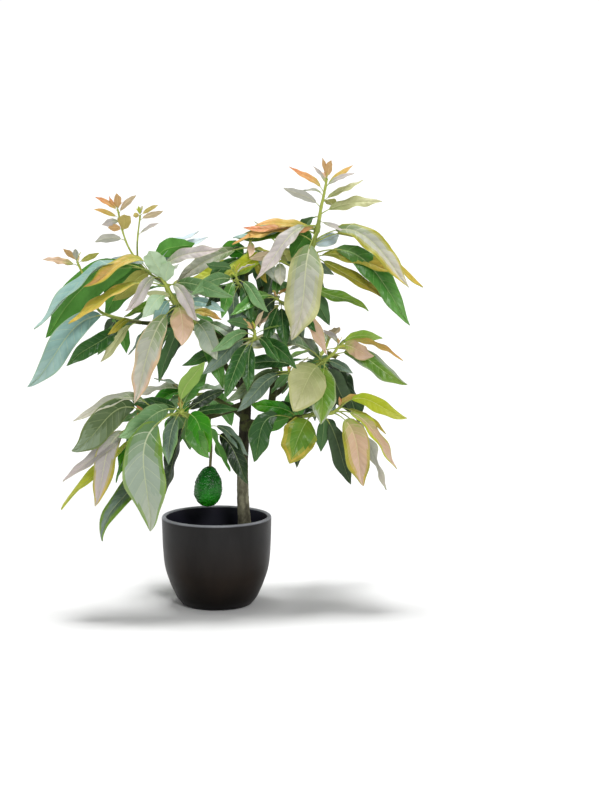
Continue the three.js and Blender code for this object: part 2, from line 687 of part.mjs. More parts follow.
// First every mass gets its shoots, cut clear of the limbs, then its named leaves, and last
// the leaves that the rules add. A leaf that would touch a limb or another mass turns aside a
// little, or is skipped.
const masses = Object.entries({ ...MASSES, fruiting_spray: FRUITING_SPRAY }).map(([name, mass], order) => ({
  name,
  ...mass,
  random: seededRandom(order + 1),
  solids: mass.shoots.map((shoot) => toSolid(limbGeometry(shoot, TWIG_SIDES, TWIG_STEPS)).subtract(allLimbs)),
  keepOuts: mass.shoots.map((shoot) => toSolid(limbGeometry(shoot, TWIG_SIDES, TWIG_STEPS, GAP))),
}));

// The fruit's top takes in the end of its stalk.
const stalkEnd = vector(FRUITING_SPRAY.shoots[0].route.at(-1));
const fruitTop = stalkEnd.add(new THREE.Vector3(0, 0, FRUIT_STALK_SUNK));
const spray = masses.at(-1);
spray.solids.push(toSolid(fruitGeometry(fruitTop)));
spray.keepOuts.push(spray.solids.at(-1));

const overlaps = (a, b) => {
  const [first, second] = [a.boundingBox(), b.boundingBox()];
  return [0, 1, 2].every((axis) => first.min[axis] < second.max[axis] && second.min[axis] < first.max[axis]);
};
const touches = (a, b) => overlaps(a, b) && a.intersect(b).volume() > 0;

const rootOf = (shoot, leaf) => curveThrough(shoot.route).getPoint(leaf[0]);

function growLeaf(mass, shoot, row) {
  const root = rootOf(shoot, row);
  const others = masses.filter((other) => other !== mass).flatMap((other) => other.keepOuts);
  const blocked = (leaf) => touches(leaf, allLimbs) || others.some((other) => touches(leaf, other));
  const turned = TURNS_ASIDE.map((turn) => row.with(1, row[1] + turn));
  const free = turned.find((each) => !blocked(toSolid(leafGeometry(root, each, GAP))));
  if (!free) {
    return;
  }
  const leaf = toSolid(leafGeometry(root, free));
  mass.solids.push(leaf);
  mass.keepOuts.push(leaf);
}

for (const mass of masses) {
  for (const shoot of mass.shoots) {
    shoot.leaves.forEach((leaf) => growLeaf(mass, shoot, namedLeaf(leaf, rootOf(shoot, leaf))));
  }
}
for (const mass of masses) {
  for (const shoot of mass.shoots.filter((each) => each.rule)) {
    ruleLeaves(shoot.rule, mass.random).forEach((row) => growLeaf(mass, shoot, row));
  }
}
for (const mass of masses) {
  const joined = largestPiece(wasm.Manifold.union(mass.solids));
  addPart(mass.name, toGeometry(joined), mass.colour, LEAF_ROUGHNESS);
}

export default plant;
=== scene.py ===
"""A young avocado tree in a dark rounded pot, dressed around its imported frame.

Lengths are in millimetres in the part's own frame until a mesh is made, where MM turns them into metres.
"""
import math
import random
from functools import cache

import bpy
import numpy as np
from mathutils import Matrix, Vector, noise
from mathutils.kdtree import KDTree


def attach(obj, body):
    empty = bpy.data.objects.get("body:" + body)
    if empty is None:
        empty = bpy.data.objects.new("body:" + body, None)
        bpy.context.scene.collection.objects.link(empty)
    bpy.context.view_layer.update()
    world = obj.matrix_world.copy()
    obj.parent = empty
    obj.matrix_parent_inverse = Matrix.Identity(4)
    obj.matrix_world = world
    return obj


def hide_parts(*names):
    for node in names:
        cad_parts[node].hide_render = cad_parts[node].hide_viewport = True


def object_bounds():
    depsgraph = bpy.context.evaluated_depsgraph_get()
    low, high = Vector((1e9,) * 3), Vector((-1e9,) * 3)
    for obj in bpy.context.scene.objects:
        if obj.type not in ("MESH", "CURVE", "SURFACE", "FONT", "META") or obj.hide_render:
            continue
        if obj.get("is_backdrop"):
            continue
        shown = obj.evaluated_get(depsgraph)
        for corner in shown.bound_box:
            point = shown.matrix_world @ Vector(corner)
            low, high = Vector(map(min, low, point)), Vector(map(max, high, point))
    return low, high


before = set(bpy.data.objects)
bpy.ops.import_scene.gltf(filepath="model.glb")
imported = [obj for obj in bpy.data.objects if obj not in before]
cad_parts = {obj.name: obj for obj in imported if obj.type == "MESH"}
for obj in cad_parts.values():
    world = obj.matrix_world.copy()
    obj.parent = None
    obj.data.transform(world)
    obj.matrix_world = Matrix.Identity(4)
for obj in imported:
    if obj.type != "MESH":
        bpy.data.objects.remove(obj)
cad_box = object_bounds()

MM = 0.001

# ---- the front view ----
# The photograph is taken by an eye in front of the crown and a little above it. A place in its view is the
# X and Z where a line of sight crosses the plane Y = 0.
EYE = np.array([57, -1494, 351])
CAMERA_PITCH = 8  # degrees below level
LENS = 100
SENSOR = 36

# ---- pot and soil ----
POT_HEIGHT = 61.5
POT_FOOT_RADIUS = 21
POT_RIM_RADIUS = 37.5
POT_WALL = 3
POT_FLOOR = 4
POT_SIDES = 128
POT_STEPS = 40
INSIDE_STEPS = 14
POT_OUTLINE = [(24, 0.9), (28.2, 6.5), (32.7, 17), (35.6, 27), (36.9, 41), (POT_RIM_RADIUS, POT_HEIGHT - 1.5)]
SOIL_LEVEL = 47.6
SOIL_EDGE_DROP = 1.6
SOIL_GAP = 0.3
SOIL_WAVES = ((0.2, 0.9), (0.7, 0.5))  # waves to the millimetre, and their height
SOIL_SINK = 0.3
SOIL_RINGS = 24
SOIL_SIDES = 72
SOIL_COLOURS = {
    "peat": ((34, 26, 20), (66, 50, 38)), "peat_crumb": ((28, 22, 18), (58, 44, 34)),
    "bark_crumb": ((60, 42, 28), (98, 72, 50)),
}
CRUMBS = 420
CRUMB_SIZE = (0.45, 1.5)
CRUMB_BREADTH = (0.5, 1)  # of its size
CRUMB_THICKNESS = (0.3, 0.7)
CRUMB_TILT = (-0.6, 0.6)  # radians
CRUMB_GRAIN, CRUMB_LUMPS = 1.7, 0.25
CRUMB_SIDES, CRUMB_STEPS = 7, 4

# ---- leaves ----
# A pair is the least and the most that a leaf draws. What has no unit beside it is a share of the leaf's
# length where it runs along the leaf, and of the blade's half width where it lies across it.
PETIOLE_SHARE = 0.16  # the stalk before the blade
PETIOLE_RADIUS = 0.5  # millimetres
PETIOLE_TAPER = ((0, 0.25, 1), (1.35, 1, 0.62))  # places along it, and of that radius
SHORT_LEAF_PETIOLE, FULL_LENGTH = 0.55, 60  # how thin it gets on short leaves and on narrow ones, and
NARROW_LEAF_PETIOLE, FULL_WIDTH = 0.4, 9.6  # from how many millimetres on it has its full radius
PETIOLE_UNDER_BLADE = 0.04
PETIOLE_RINGS = 6
PETIOLE_SIDES = 7
SLIM_BLADE = 0.2  # a named leaf's least and greatest width, of its length
BROAD_BLADE = 0.6
SMALL_LEAF = 24  # millimetres long, with few side veins
LARGE_LEAF = 42  # and above this, with many
FEW_VEINS, SOME_VEINS, MANY_VEINS = 4, 6, 8
TWIST = (-26, 26)  # degrees over the leaf's length
UNTWISTED_AT = 0.4
BEND = (-0.05, 0.05)  # to one side
SWAY = (-0.022, 0.022)  # to one side and then the other
HOOK = (-0.01, 0.045)  # down at the tip
HOOK_SPAN = (0.72, 1.05)
ARCH_PEAK = 27 / 4  # makes 1 of the most that share * (1 - share) ** 2 reaches
BEND_PEAK = 4  # makes 1 of the most that share * (1 - share) reaches
SHORT_STEP = 0.002
BLADE_RISE = 0.62  # powers of the blade's outline, towards its base and its tip
BLADE_FALL = 0.78
DRAWN_TIP = 0.24  # how much narrower the drawn-out tip is
DRAWN_SPAN = (0.72, 0.95)
BASE_ROWS = (0, 0.003, 0.012, 0.03)
VEIN_ROWS = 4  # of the blade's grid, for each side vein
VEIN_WIDTH = 0.007
VEINS_FROM = 0.05
VEINS_SPAN = 0.86
VEIN_SLANT = 0.95  # of the half width: how far forward of its start a side vein ends
VEIN_CURVE = 1.2  # the power by which it bends forward towards the rim
COLUMN_SHARES = (0.3, 0.55, 0.75, 0.88, 0.955, 1)
LEAST_HALF = 0.14  # millimetres, half the least width of a row
RIB_BASE = 0.13  # millimetres, half the midrib's width, with a gain for each of length
RIB_GAIN = 0.005
RIB_TAPER = 0.75
RIB_MOST = 0.3
SWELLS = (1.6, 2.8)  # waves of the blade's outline
SWELL_STARTS = (0.4, 0.9)
SWELL_SIZE = 0.09
LEAF_THICKNESS = 0.26  # millimetres at the midrib, and how much thinner the rim is
RIM_THINNING = 0.45
LEAF_FOLD = 0.22  # how far the edges rise above the midrib
FOLD_SPREAD = (0.5, 1.7)
RIM_CURL = (-0.2, 0.5)
RIM_WAVES = (1.6, 3.2)
RIM_WAVE_SIZE = (0.1, 0.3)
SMALL_LEAF_WAVES = 0.6  # of the size that other leaves draw
PUFF = 0.008  # of the length: the rise between side veins
GROOVE = 0.005  # the midrib's groove above, and its keel below
KEEL = 0.007
UNDER_RELIEF = 0.6  # how much of the upper face's relief the underside has
ZONE_SHIFT = (-0.05, 0.05)  # how far the colours along a blade start late, and how far they wave
ZONE_WAVE = 0.06
ANY_PHASE = (0, 6)  # radians
EDGE_FROM = 0.86
RIM_FROM = 0.95
VEINS_TO = 0.9
PARTNER_WANDER = 0.16  # how far in from the rim a second tint starts, wanders, and mixes with the first
PARTNER_WAVES = 3.5  # radians over the blade
GLOSSY, DULL, UNDERSIDE = 0.3, 0.46, 0.6  # roughness
OLD_TO, GROWN_TO = 0.5, 0.82  # the places on a shoot where its old and its grown leaves end
GOLDEN_SECTION = 0.618034
# The rule's leaves, from a shoot's foot to its tip. The last row is how far each value strays.
RULE = {
    "stretch": (0.15, 0.98), "rise": (-45, 48), "shortening": 0.72, "late_power": 1.5,
    "slim_width": 0.23, "width_gain": 0.001, "arch": 0.1,
    "turn": 8, "lift": 10, "length": 0.12, "roll": 25, "arch_spread": 0.06,
}
BUD_LENGTH = (4.5, 7.5)  # millimetres
BUD_TURN = (-30, 30)  # degrees
BUD_RISE = (55, 80)
BUD_WIDTH = 0.3
BUD_ARCH = 0.05
BUD_TINTS = ("flame", "amber", "lime")

# ---- stems and bark ----
STEM_STEPS = 9  # rings for each span of a route
STEM_SIDES = 10
OLD_STEM_TO, GROWN_STEM_TO = 0.12, 0.45  # the places on a shoot where its wood changes colour
STEM_COLOURS = {
    "stem_old": (92, 96, 48), "stem_grown": (128, 142, 58), "stem_young": (156, 168, 72),
    "petiole": (150, 164, 78), "stalk": (84, 84, 46),
}
KNUCKLE = 0.16  # how much a stem swells where a leaf leaves it, and over how many rings
KNUCKLE_STEPS = 0.9
LIMB_STEPS = 10
LIMB_SIDES = 20
BARK_VOXEL = 0.45
BARK_SOFTENING = 5  # rounds of smoothing
RIDGE_GRAIN = np.array([0.55, 0.55, 0.16])  # the relief's noise, in waves to the millimetre
RING_GRAIN = np.array([0.1, 0.1, 0.55])
FINE_GRAIN = 0.9
RIDGE_DEPTH, RING_DEPTH, FINE_DEPTH = 0.32, 0.16, 0.1
ROUGH_RADIUS = 3.5  # a thinner limb has less relief
GREEN_RADII = (1.7, 3.2)  # green wood up to the first radius, and bark from the second on
SHADE_STARTS = (84, 108)  # heights between which the bark darkens to the painted shade under the crown
WOOD_GRAIN = (1, 1, 0.4)

# ---- fruit ----
FRUIT_LENGTH = 28
FRUIT_RADIUS = 10.5
FRUIT_LEAN = 5  # degrees, its blossom end to the left
FRUIT_NECK = 0.28
FRUIT_STALK_SUNK = 2
FRUIT_STEPS = 110
FRUIT_SIDES = 150
PEBBLE_GRAIN, PEBBLE_DEPTH, PEBBLE_LEVEL = 0.85, 0.7, 0.45
LUMP_GRAIN, LUMP_DEPTH = 0.28, 0.35

# ---- floor and light ----
FLOOR_SIDE = 60  # metres
VIEW_REACH = 100
SUNS = {  # where from, its strength, and how wide it looks in degrees
    "overhead": ((-0.04, 0.08, 1), 3.4, 18),
    "front": ((0.3, -1, 0.55), 1.25, 12),
}
STUDIO_GREYS = [(0.08, 1.0), (0.3, 0.28), (0.85, 0.38)]  # by how far up a direction points
STUDIO_STRENGTH = 1.04

# ---- colours ----
# Each tint's colours in sRGB: at the blade's foot, over its middle and at its tip.
TINTS = {
    # dark: the deep green of old leaves, darkened further as painted shade for the leaves inside the crown
    "dark": ((14, 30, 10), (20, 42, 16), (46, 70, 36)),
    "deep": ((38, 70, 28), (38, 80, 30), (62, 102, 48)),
    "green": ((80, 112, 52), (62, 114, 42), (94, 142, 66)),
    "fern": ((80, 112, 62), (96, 134, 84), (122, 156, 108)),
    "leaf": ((104, 132, 40), (88, 128, 38), (124, 152, 58)),
    "bright": ((40, 108, 14), (48, 122, 16), (84, 146, 32)),
    "spring": ((150, 174, 52), (120, 158, 52), (146, 174, 88)),
    "lime": ((150, 172, 30), (168, 178, 36), (188, 190, 84)),
    "olive": ((118, 128, 40), (150, 146, 46), (188, 162, 64)),
    "khaki": ((148, 158, 98), (166, 168, 118), (182, 180, 140)),
    "moss": ((54, 76, 34), (80, 98, 60), (128, 144, 118)),
    "slate": ((70, 94, 68), (84, 106, 86), (120, 138, 126)),
    "sage": ((84, 116, 68), (142, 156, 138), (168, 174, 156)),
    "teal": ((106, 142, 130), (130, 164, 156), (150, 176, 168)),
    "mint": ((150, 182, 134), (176, 202, 168), (192, 210, 188)),
    "ice": ((168, 186, 184), (178, 196, 202), (188, 200, 206)),
    "silver": ((112, 132, 84), (162, 164, 148), (182, 176, 160)),
    "mauve": ((146, 156, 128), (168, 162, 158), (182, 170, 166)),
    "blush": ((146, 162, 76), (188, 158, 128), (200, 172, 152)),
    "flame": ((172, 160, 80), (198, 142, 88), (200, 122, 84)),
    "amber": ((156, 162, 66), (184, 156, 74), (202, 150, 86)),
}
RIM_TONE = (176, 176, 96)  # what each tint's rim, midrib and underside turn towards
RIB_TONE = (206, 212, 156)
UNDER_TONE = (160, 174, 140)
# The dark tint among the old leaves is partly painted shade.
OLD_TINTS = ("deep", "green", "dark", "bright", "green")
GROWN_TINTS = ("green", "sage", "olive", "teal", "leaf", "silver")
YOUNG_TINTS = ("blush", "mauve", "amber", "flame", "khaki")
GLOSSY_TINTS = ("dark", "deep", "green", "leaf", "bright")

# ---- the limbs: a route, and radii spread evenly along it ----
TRUNK = (
    [(19, 0, SOIL_LEVEL - 1), (19, 0, 56), (18, 1, 74), (18, 1, 100), (20, 1, 136), (19, 0, 158),
     (19, 0, 187), (20, 0, 209), (21, 0, 233)], (5.8, 4.6, 4.1, 3.7, 3.9, 3.5, 3, 2.2, 1.5),
)
BOUGHS = {
    "right_limb": (
        [(20, 0, 126), (25, 3, 124), (32, 7, 125), (37, 10, 134), (41, 10, 167), (47, 6, 195), (54, 2, 216),
         (59, 0, 226)], (3.4, 1.7),
    ),
    "upper_left_bough": ([(19, 0, 166), (6, -10, 182), (-6, -16, 193)], (2.4, 1.6)),
    "far_left_bough": (
        [(19, 0, 146), (14, 4, 152), (-11, 6, 187), (-34, 2, 192), (-50, -2, 194)], (2.4, 1.4),
    ),
    "lower_left_bough": ([(19, 0, 138), (5, -8, 134), (-6, -18, 132), (-14, -28, 133)], (2.6, 1.7)),
    "lower_right_bough": ([(20, 0, 123), (30, -6, 126), (48, -8, 128), (53, -11, 130)], (2.4, 1.6)),
    "right_middle_bough": ([(41, 9, 158), (57, 0, 160), (66, -5, 165)], (1.9, 1.4)),
    "front_bough": ([(19, 0, 172), (22, -14, 179), (25, -24, 184)], (2.1, 1.4)),
    "upper_front_bough": ([(20, 0, 205), (20, -10, 212), (18, -16, 217)], (1.7, 1.2)),
    "back_left_bough": ([(19, 0, 162), (6, 14, 174), (-10, 28, 186)], (2.3, 1.5)),
    "back_right_bough": ([(38, 10, 142), (48, 22, 148), (60, 32, 157)], (2.1, 1.5)),
    "back_low_bough": ([(19, 0, 129), (12, 16, 132), (0, 30, 137)], (2.3, 1.5)),
    "back_top_bough": ([(19, 0, 196), (26, 12, 208), (34, 22, 220)], (2, 1.4)),
}


def shoot(route, radii, leaves=(), rule=None):
    """A green shoot. A leaf is: where it sits on the shoot from 0 to 1, its tip's X and Z in the front view,
    how far the tip lies behind its root, how much of its width shows from the front, its arch, and its tint,
    with its rim's tint if that differs. A rule adds leaves: how many, from which direction to which in
    degrees (0 is +X, 90 is +Y), and the longest one's length."""
    return {"route": route, "radii": radii, "leaves": leaves, "rule": rule}


# Leaves of the dark tint sit mostly inside and behind the crown, where that tint is partly painted shade.
MASSES = {
    "leader_foliage": [
        shoot([(59, 0, 226), (65, -2, 244), (69, -2, 259), (71, -2, 271), (73, -2, 280), (75, -2, 291)],
              radii=(1.6, 0.7), rule=(6, 60, 160, 50), leaves=[
            (0.26, 131, 220, -30, 12, 0.22, "silver olive"), (0.24, 141, 221, 12, 9, 0.2, "olive"),
            (0.15, 133, 195, -15, 15, 0.19, "green"), (0.16, 120, 209, -10, 7, 0, "olive"),
            (0.36, 51, 182, -30, 25, 0.1, "silver khaki"), (0.4, 27, 224, -28, 9, 0.16, "mauve"),
            (0.4, 27, 261, -8, 5, 0.01, "amber"), (0.38, 11, 249, -4, 6, 0.05, "amber"),
            (0.45, 90, 255, -10, 3, 0.05, "mauve"), (0.52, 112, 276, -4, 7, 0.08, "khaki"),
            (0.6, 46, 285, -6, 6, 0.08, "mauve"), (0.82, 50, 299, -3, 4, 0.06, "flame"),
            (0.68, 99, 290, 3, 4, 0.06, "khaki"), (0.88, 93, 295, -4, 3, 0.05, "mauve"),
            (0.88, 92, 300, 4, 3, 0.05, "amber"), (0.95, 66, 299, -2, 2, 0, "mauve"),
            (1, 72, 304.6, -3, 3, 0, "flame"), (1, 78, 303, -4, 5, 0, "flame"),
            (0.2, 83, 254, 12, 9, 0.05, "ice"), (0.35, 51, 238, 18, 13, 0.05, "bright"),
            (0.02, 104, 203, -8, 7, -0.12, "leaf"), (0.02, 77, 192, 4, 12, 0, "deep"),
            (0.08, 80, 227, 15, 6, 0.1, "slate"), (0.1, 120, 229, -12, 8, 0.12, "olive"),
            (0.36, 12, 251, 6, 7, 0.05, "teal"), (0.32, 19, 258, 3, 4, 0.08, "flame"),
            (0.25, 13, 251, 8, 9, 0.1, "leaf"), (0.4, 53, 255, -4, 4, 0.05, "flame"),
        ]),
        shoot([(59, 0, 227), (51, -1, 232), (41, -3, 237)], radii=(1, 0.7), leaves=[
            (1, 3, 225, -10, 11, 0.12, "lime spring"), (0.9, 44, 219, -16, 8, 0.05, "silver"),
            (0.9, 23, 238, -12, 6, 0.15, "blush"),
        ]),
    ],
    "top_centre_foliage": [
        shoot([(21, 0, 233), (22, -1, 241), (24, -2, 250)], radii=(1.4, 0.8), rule=(7, 10, 170, 42), leaves=[
            (0.05, -19, 222, -12, 7, 0.08, "lime"), (0.3, 5, 246, 14, 12, 0.05, "bright"),
            (0.7, -27, 221, 8, 10, 0.04, "silver"), (0.25, -7, 217, -20, 8, 0.1, "deep"),
            (0.15, 14, 210, -15, 8, 0.1, "dark"), (1, 23, 238, -11, 5, 0.05, "blush"),
            (0.75, 44, 221, -12, 8, 0.1, "sage"), (0.3, 35, 221, -10, 6, 0.1, "olive"),
        ]),
    ],
    "inner_left_foliage": [
        shoot([(18, -16, 217), (16, -20, 222), (14, -23, 229)],
              radii=(0.9, 0.6), rule=(4, 0, 180, 40), leaves=[
            (0.5, -16, 214, -24, 9, 0.12, "fern"), (0.3, -7, 206, -18, 8, 0.1, "dark"),
            (0.8, 4, 197, -18, 8, 0.1, "green"), (0.6, 25, 195, -12, 9, 0.08, "deep"),
            (0.7, 36, 202, -16, 8, 0.1, "fern"), (0.4, 11, 189, -14, 8, 0.06, "slate"),
            (1, -6, 234, -20, 6, 0.1, "deep"),
        ]),
    ],
    "inner_right_foliage": [
        shoot([(50, 2, 203), (45, -9, 208), (41, -15, 212)], radii=(0.9, 0.6), rule=(4, 0, 180, 40), leaves=[
            (0.9, 10, 199, -26, 7, 0.14, "green"), (1, 10, 191, -20, 6, 0.1, "slate"),
            (0.6, 32, 178, -14, 8, 0.08, "deep"), (1, 29, 191, -8, 4, 0.05, "blush"),
            (0.35, 29, 192, -12, 4, 0.1, "blush"), (0.5, 68, 188, -13, 8, 0.1, "deep"),
            (0.6, 48, 177, -14, 9, 0.05, "deep"), (0.7, 76, 173, -10, 8, 0.08, "blush"),
            (0.9, 42, 226, 9, 6, 0.05, "green"), (0.2, 59, 181, 16, 8, 0.1, "slate"),
            (0.8, 27, 196, -20, 9, 0.1, "dark"), (0.6, 22, 206, -14, 9, 0.12, "fern"),
        ]),
    ],
    "upper_left_foliage": [
        shoot([(-6, -16, 193), (-17, -20, 198), (-25, -24, 210), (-32, -26, 222), (-39, -24, 233)],
              radii=(1.5, 0.8), rule=(7, 20, 160, 50), leaves=[
            (0.45, -56, 139, -33, 16, 0.17, "silver blush"), (0.5, -23, 178, -20, 15, 0.12, "blush"),
            (0.75, -12, 195, -18, 9, 0.18, "mauve"), (0.2, 1, 169, -26, 14, 0.16, "sage"),
            (0.85, -61, 202, -28, 8, 0.15, "mauve"), (0.6, -50, 198, -12, 10, 0.1, "mint"),
            (0.75, -44, 243, -18, 14, 0.06, "mint"), (0.7, -100, 195, -20, 4, 0.14, "olive amber"),
            (0.95, -89, 219, -14, 6, 0.2, "amber olive"), (0.9, -70, 210, 14, 11, 0.12, "olive"),
            (0.95, -14, 248, -2, 12, 0.3, "bright"), (0.88, 4, 244, -8, 8, 0.16, "mauve"),
            (0.5, -62, 198, 12, 6, 0.1, "leaf"), (0.35, -40, 154, 16, 9, 0.02, "deep"),
            (0.15, 5, 149, -20, 11, 0.05, "green"), (0.08, 19, 180, -16, 6, 0.14, "sage"),
            (0.9, -116, 186, 20, 22, 0.16, "bright"), (0.85, -75, 199, 28, 20, 0.2, "bright"),
            (0.42, -60, 173, 16, 5, 0.04, "slate"), (0.55, -48, 215, -10, 5, 0.05, "khaki"),
            (0.55, -44, 189, -12, 9, 0.1, "teal"), (0.72, -31, 236, -14, 10, 0.05, "mint"),
            (0.72, 12, 212, -22, 10, 0.08, "fern"), (0.3, 4, 197, -17, 4, 0.1, "amber"),
            (0.45, 6, 202, -17, 6, 0.1, "teal"), (0.08, 23, 169, -10, 8, 0.1, "deep"),
            (0.3, -30, 171, 28, 8, 0.08, "dark"), (0.95, -12, 257, 18, 5, 0.16, "ice"),
            (0.92, -5, 252, 14, 5, 0.08, "ice"),
        ]),
        shoot([(-32, -26, 222), (-43, -22, 229), (-51, -18, 237), (-57, -17, 246), (-61, -16, 257),
               (-64, -16, 271)],
              radii=(0.9, 0.5), leaves=[
            (0.25, -123, 190, -20, 5, 0.19, "teal"), (0.2, -76, 235, 6, 6, 0.15, "ice"),
            (1, -66, 281, -6, 5, 0, "flame"), (0.97, -80, 279, -3, 3, 0.05, "flame"),
            (1, -71, 279, -2, 2, 0, "flame"), (0.92, -81, 271, -3, 3, 0.06, "amber"),
            (0.87, -76, 260, -5, 5, 0.1, "mauve"), (0.8, -72, 258, -4, 5, 0.05, "flame"),
            (0.68, -81, 249, -3, 6, 0.1, "mauve"), (0.78, -61, 267, -9, 10, 0, "amber"),
            (0.95, -53, 280, -2, 4, 0.05, "blush"),
        ]),
        shoot([(-51, -18, 237), (-51, -18, 250), (-49, -18, 267)], radii=(0.7, 0.5), leaves=[
            (1, -38, 273, -2, 3, 0.05, "amber"), (0.9, -35, 270, -3, 4, 0.06, "blush"),
            (0.62, -38, 261, -8, 2, 0.05, "mauve"), (1, -49, 273, 4, 2, 0, "mauve"),
            (1, -55, 266, -4, 5, 0.05, "amber"),
        ]),
    ],
    "far_left_foliage": [
        shoot([(-50, -2, 194), (-64, -5, 197), (-77, -8, 202), (-82, -10, 212), (-90, -12, 232),
               (-92, -12, 236)],
              radii=(1.3, 0.6), rule=(3, 30, 150, 36), leaves=[
            (0.82, -116, 237, -14, 4, 0.02, "blush"), (0.97, -102, 244, -10, 4, 0.05, "flame"),
            (1, -94, 244, -8, 4, 0, "mauve"), (0.9, -78, 241, -4, 4, 0.02, "olive"),
            (0.15, -128, 150, -28, 17, 0.21, "teal"), (0.15, -102, 166, -28, 12, -0.02, "deep"),
            (0.03, -78, 167, -18, 6, 0.1, "khaki"), (0.06, -73, 186, -17, 5, 0.1, "olive"),
            (0.2, -74, 180, 20, 10, 0.1, "dark"), (0.1, -80, 172, 24, 8, 0.06, "green"),
        ]),
    ],
    "lower_left_foliage": [
        shoot([(-14, -28, 133), (-20, -36, 136), (-22, -40, 140)],
              radii=(1.6, 1), rule=(5, 10, 120, 48), leaves=[
            (1, -8, 168, -26, 10, 0.05, "spring"), (0.95, -67, 117, -18, 15, 0.12, "fern"),
            (0.9, -48, 51, -20, 27, 0.24, "sage leaf"), (0.9, -33, 97, -14, 10, 0.08, "slate fern"),
            (0.8, -4, 105, -16, 17, 0.14, "bright"), (0.75, -5, 101, -18, 13, 0.06, "green"),
            (0.3, -36, 75, 22, 8, 0, "dark"), (0.9, -6, 160, 14, 10, 0.06, "green"),
            (0.5, 6, 149, 4, 8, 0.1, "dark"), (0.9, -48, 143, 22, 6, 0.06, "deep"),
            (0.2, 15, 136, -6, 6, 0.12, "deep"),
        ]),
        shoot([(-20, -36, 136), (-30, -42, 137), (-42, -44, 134), (-52, -40, 130)],
              radii=(1.2, 0.8), rule=(3, 40, 150, 44), leaves=[
            (0.5, -97, 129, -12, 5, 0.22, "silver"), (0.6, -99, 107, -14, 19, 0.25, "moss"),
            (0.8, -105, 85, -10, 6, 0, "mauve"), (0.9, -84, 68, -10, 14, 0.11, "mauve olive"),
            (0.95, -108, 67, 8, 4, -0.05, "lime"), (1, -81, 44, -8, 13, -0.2, "slate leaf"),
            (0.85, -70, 85, 10, 6, 0, "bright"), (0.4, -57, 142, 24, 8, 0.1, "deep"),
        ]),
    ],
    "centre_foliage": [
        shoot([(25, -24, 184), (27, -30, 187), (27, -33, 192)],
              radii=(1.3, 0.8), rule=(5, 0, 180, 42), leaves=[
            (1, 19, 197, -5, 3, 0, "flame"), (1, 32, 202, -5, 3, 0, "blush"),
            (0.45, 5, 142, -28, 11, 0.08, "deep"), (0.3, 55, 164, -22, 10, 0.1, "deep"),
            (0.4, 19, 210, 6, 7, 0.05, "green"), (0.5, -10, 160, -14, 10, 0.1, "slate"),
            (0.6, -3, 175, -18, 8, 0.1, "fern"), (0.4, 44, 168, -24, 7, 0.1, "deep"),
            (0.5, 21, 147, -14, 9, 0.05, "deep"), (0.6, 8, 196, -16, 7, 0.1, "deep"),
            (0.35, -23, 165, 6, 10, 0.08, "deep"),
        ]),
    ],
    "right_middle_foliage": [
        shoot([(66, -5, 165), (72, -8, 168), (80, -12, 175), (83, -13, 180)],
              radii=(1.3, 0.7), rule=(5, 10, 150, 46), leaves=[
            (0.38, 52, 134, -30, 27, 0.06, "khaki"), (0.42, 71, 125, -22, 18, 0.08, "leaf sage"),
            (1, 107, 171, -14, 11, 0.08, "blush"), (0.9, 113, 183, 16, 7, 0.12, "spring"),
            (1, 127, 170, -8, 3, 0.12, "amber"), (0.5, 130, 152, -14, 12, 0.11, "leaf sage"),
            (0.4, 93, 160, -14, 6, 0.08, "slate"), (0.3, 92, 133, 12, 14, 0.04, "dark"),
            (0.3, 67, 127, 18, 10, 0.04, "sage"), (0.35, 16, 179, -26, 7, 0.1, "sage khaki"),
            (0.3, 58, 184, 12, 8, 0.05, "sage"),
        ]),
        shoot([(66, -5, 165), (58, -12, 163), (50, -16, 161)],
              radii=(0.9, 0.6), rule=(4, 0, 150, 38), leaves=[
            (1, 14, 134, -18, 10, 0.1, "slate"), (0.9, 6, 142, -16, 10, 0.1, "moss"),
            (0.5, 12, 165, -12, 9, 0.14, "deep"),
        ]),
    ],
    "lower_right_foliage": [
        shoot([(53, -11, 130), (66, -13, 133), (78, -14, 134), (84, -14, 138)],
              radii=(1.5, 0.9), rule=(4, 10, 150, 48), leaves=[
            (1, 130, 130, -12, 10, 0.18, "lime"), (1, 116, 119, -8, 3, 0.06, "olive"),
            (0.75, 124, 95, -16, 7, 0.2, "blush lime"), (0.72, 101, 82, -20, 18, 0.14, "blush olive"),
            (0.85, 116, 79, 10, 5, 0.1, "silver"), (0.5, 92, 83, 8, 13, 0.06, "dark"),
            (0.5, 71, 106, 8, 9, 0.04, "deep"), (0.33, 50, 97, -20, 29, 0.12, "leaf olive"),
            (0, 25, 99, -8, 15, 0.3, "deep"), (0.05, 23, 121, 3, 12, 0.06, "bright"),
            (0.1, 41, 140, 12, 6, 0.1, "deep"), (0.05, 23, 139, 2, 10, 0.08, "bright"),
            (0.3, 54, 95, 10, 10, 0.04, "dark"),
        ]),
    ],
    "back_left_foliage": [
        shoot([(-10, 28, 186), (-24, 38, 196), (-34, 44, 208), (-38, 47, 221)],
              radii=(1.4, 0.8), rule=(11, -60, 240, 64)),
    ],
    "back_right_foliage": [
        shoot([(60, 32, 157), (68, 40, 163), (74, 46, 170), (77, 49, 177)],
              radii=(1.4, 0.8), rule=(11, 20, 340, 62)),
    ],
    "back_low_foliage": [
        shoot([(0, 30, 137), (-12, 40, 139), (-21, 44, 139), (-30, 48, 138)],
              radii=(1.4, 0.8), rule=(12, 30, 250, 62)),
    ],
    "back_top_foliage": [
        shoot([(34, 22, 220), (38, 29, 230), (41, 33, 242), (43, 35, 252)],
              radii=(1.3, 0.8), rule=(11, -30, 210, 52)),
    ],
    "fruiting_spray": [
        shoot([(-6, -18, 132), (-5, -21, 125), (-3, -15, 113), (-4, -8, 95)], radii=(1.1, 1), leaves=[
            (0.3, 22, 103, -14, 6, 0.14, "slate"), (0.45, 22, 84, -18, 12, 0.22, "dark"),
        ]),
    ],
}
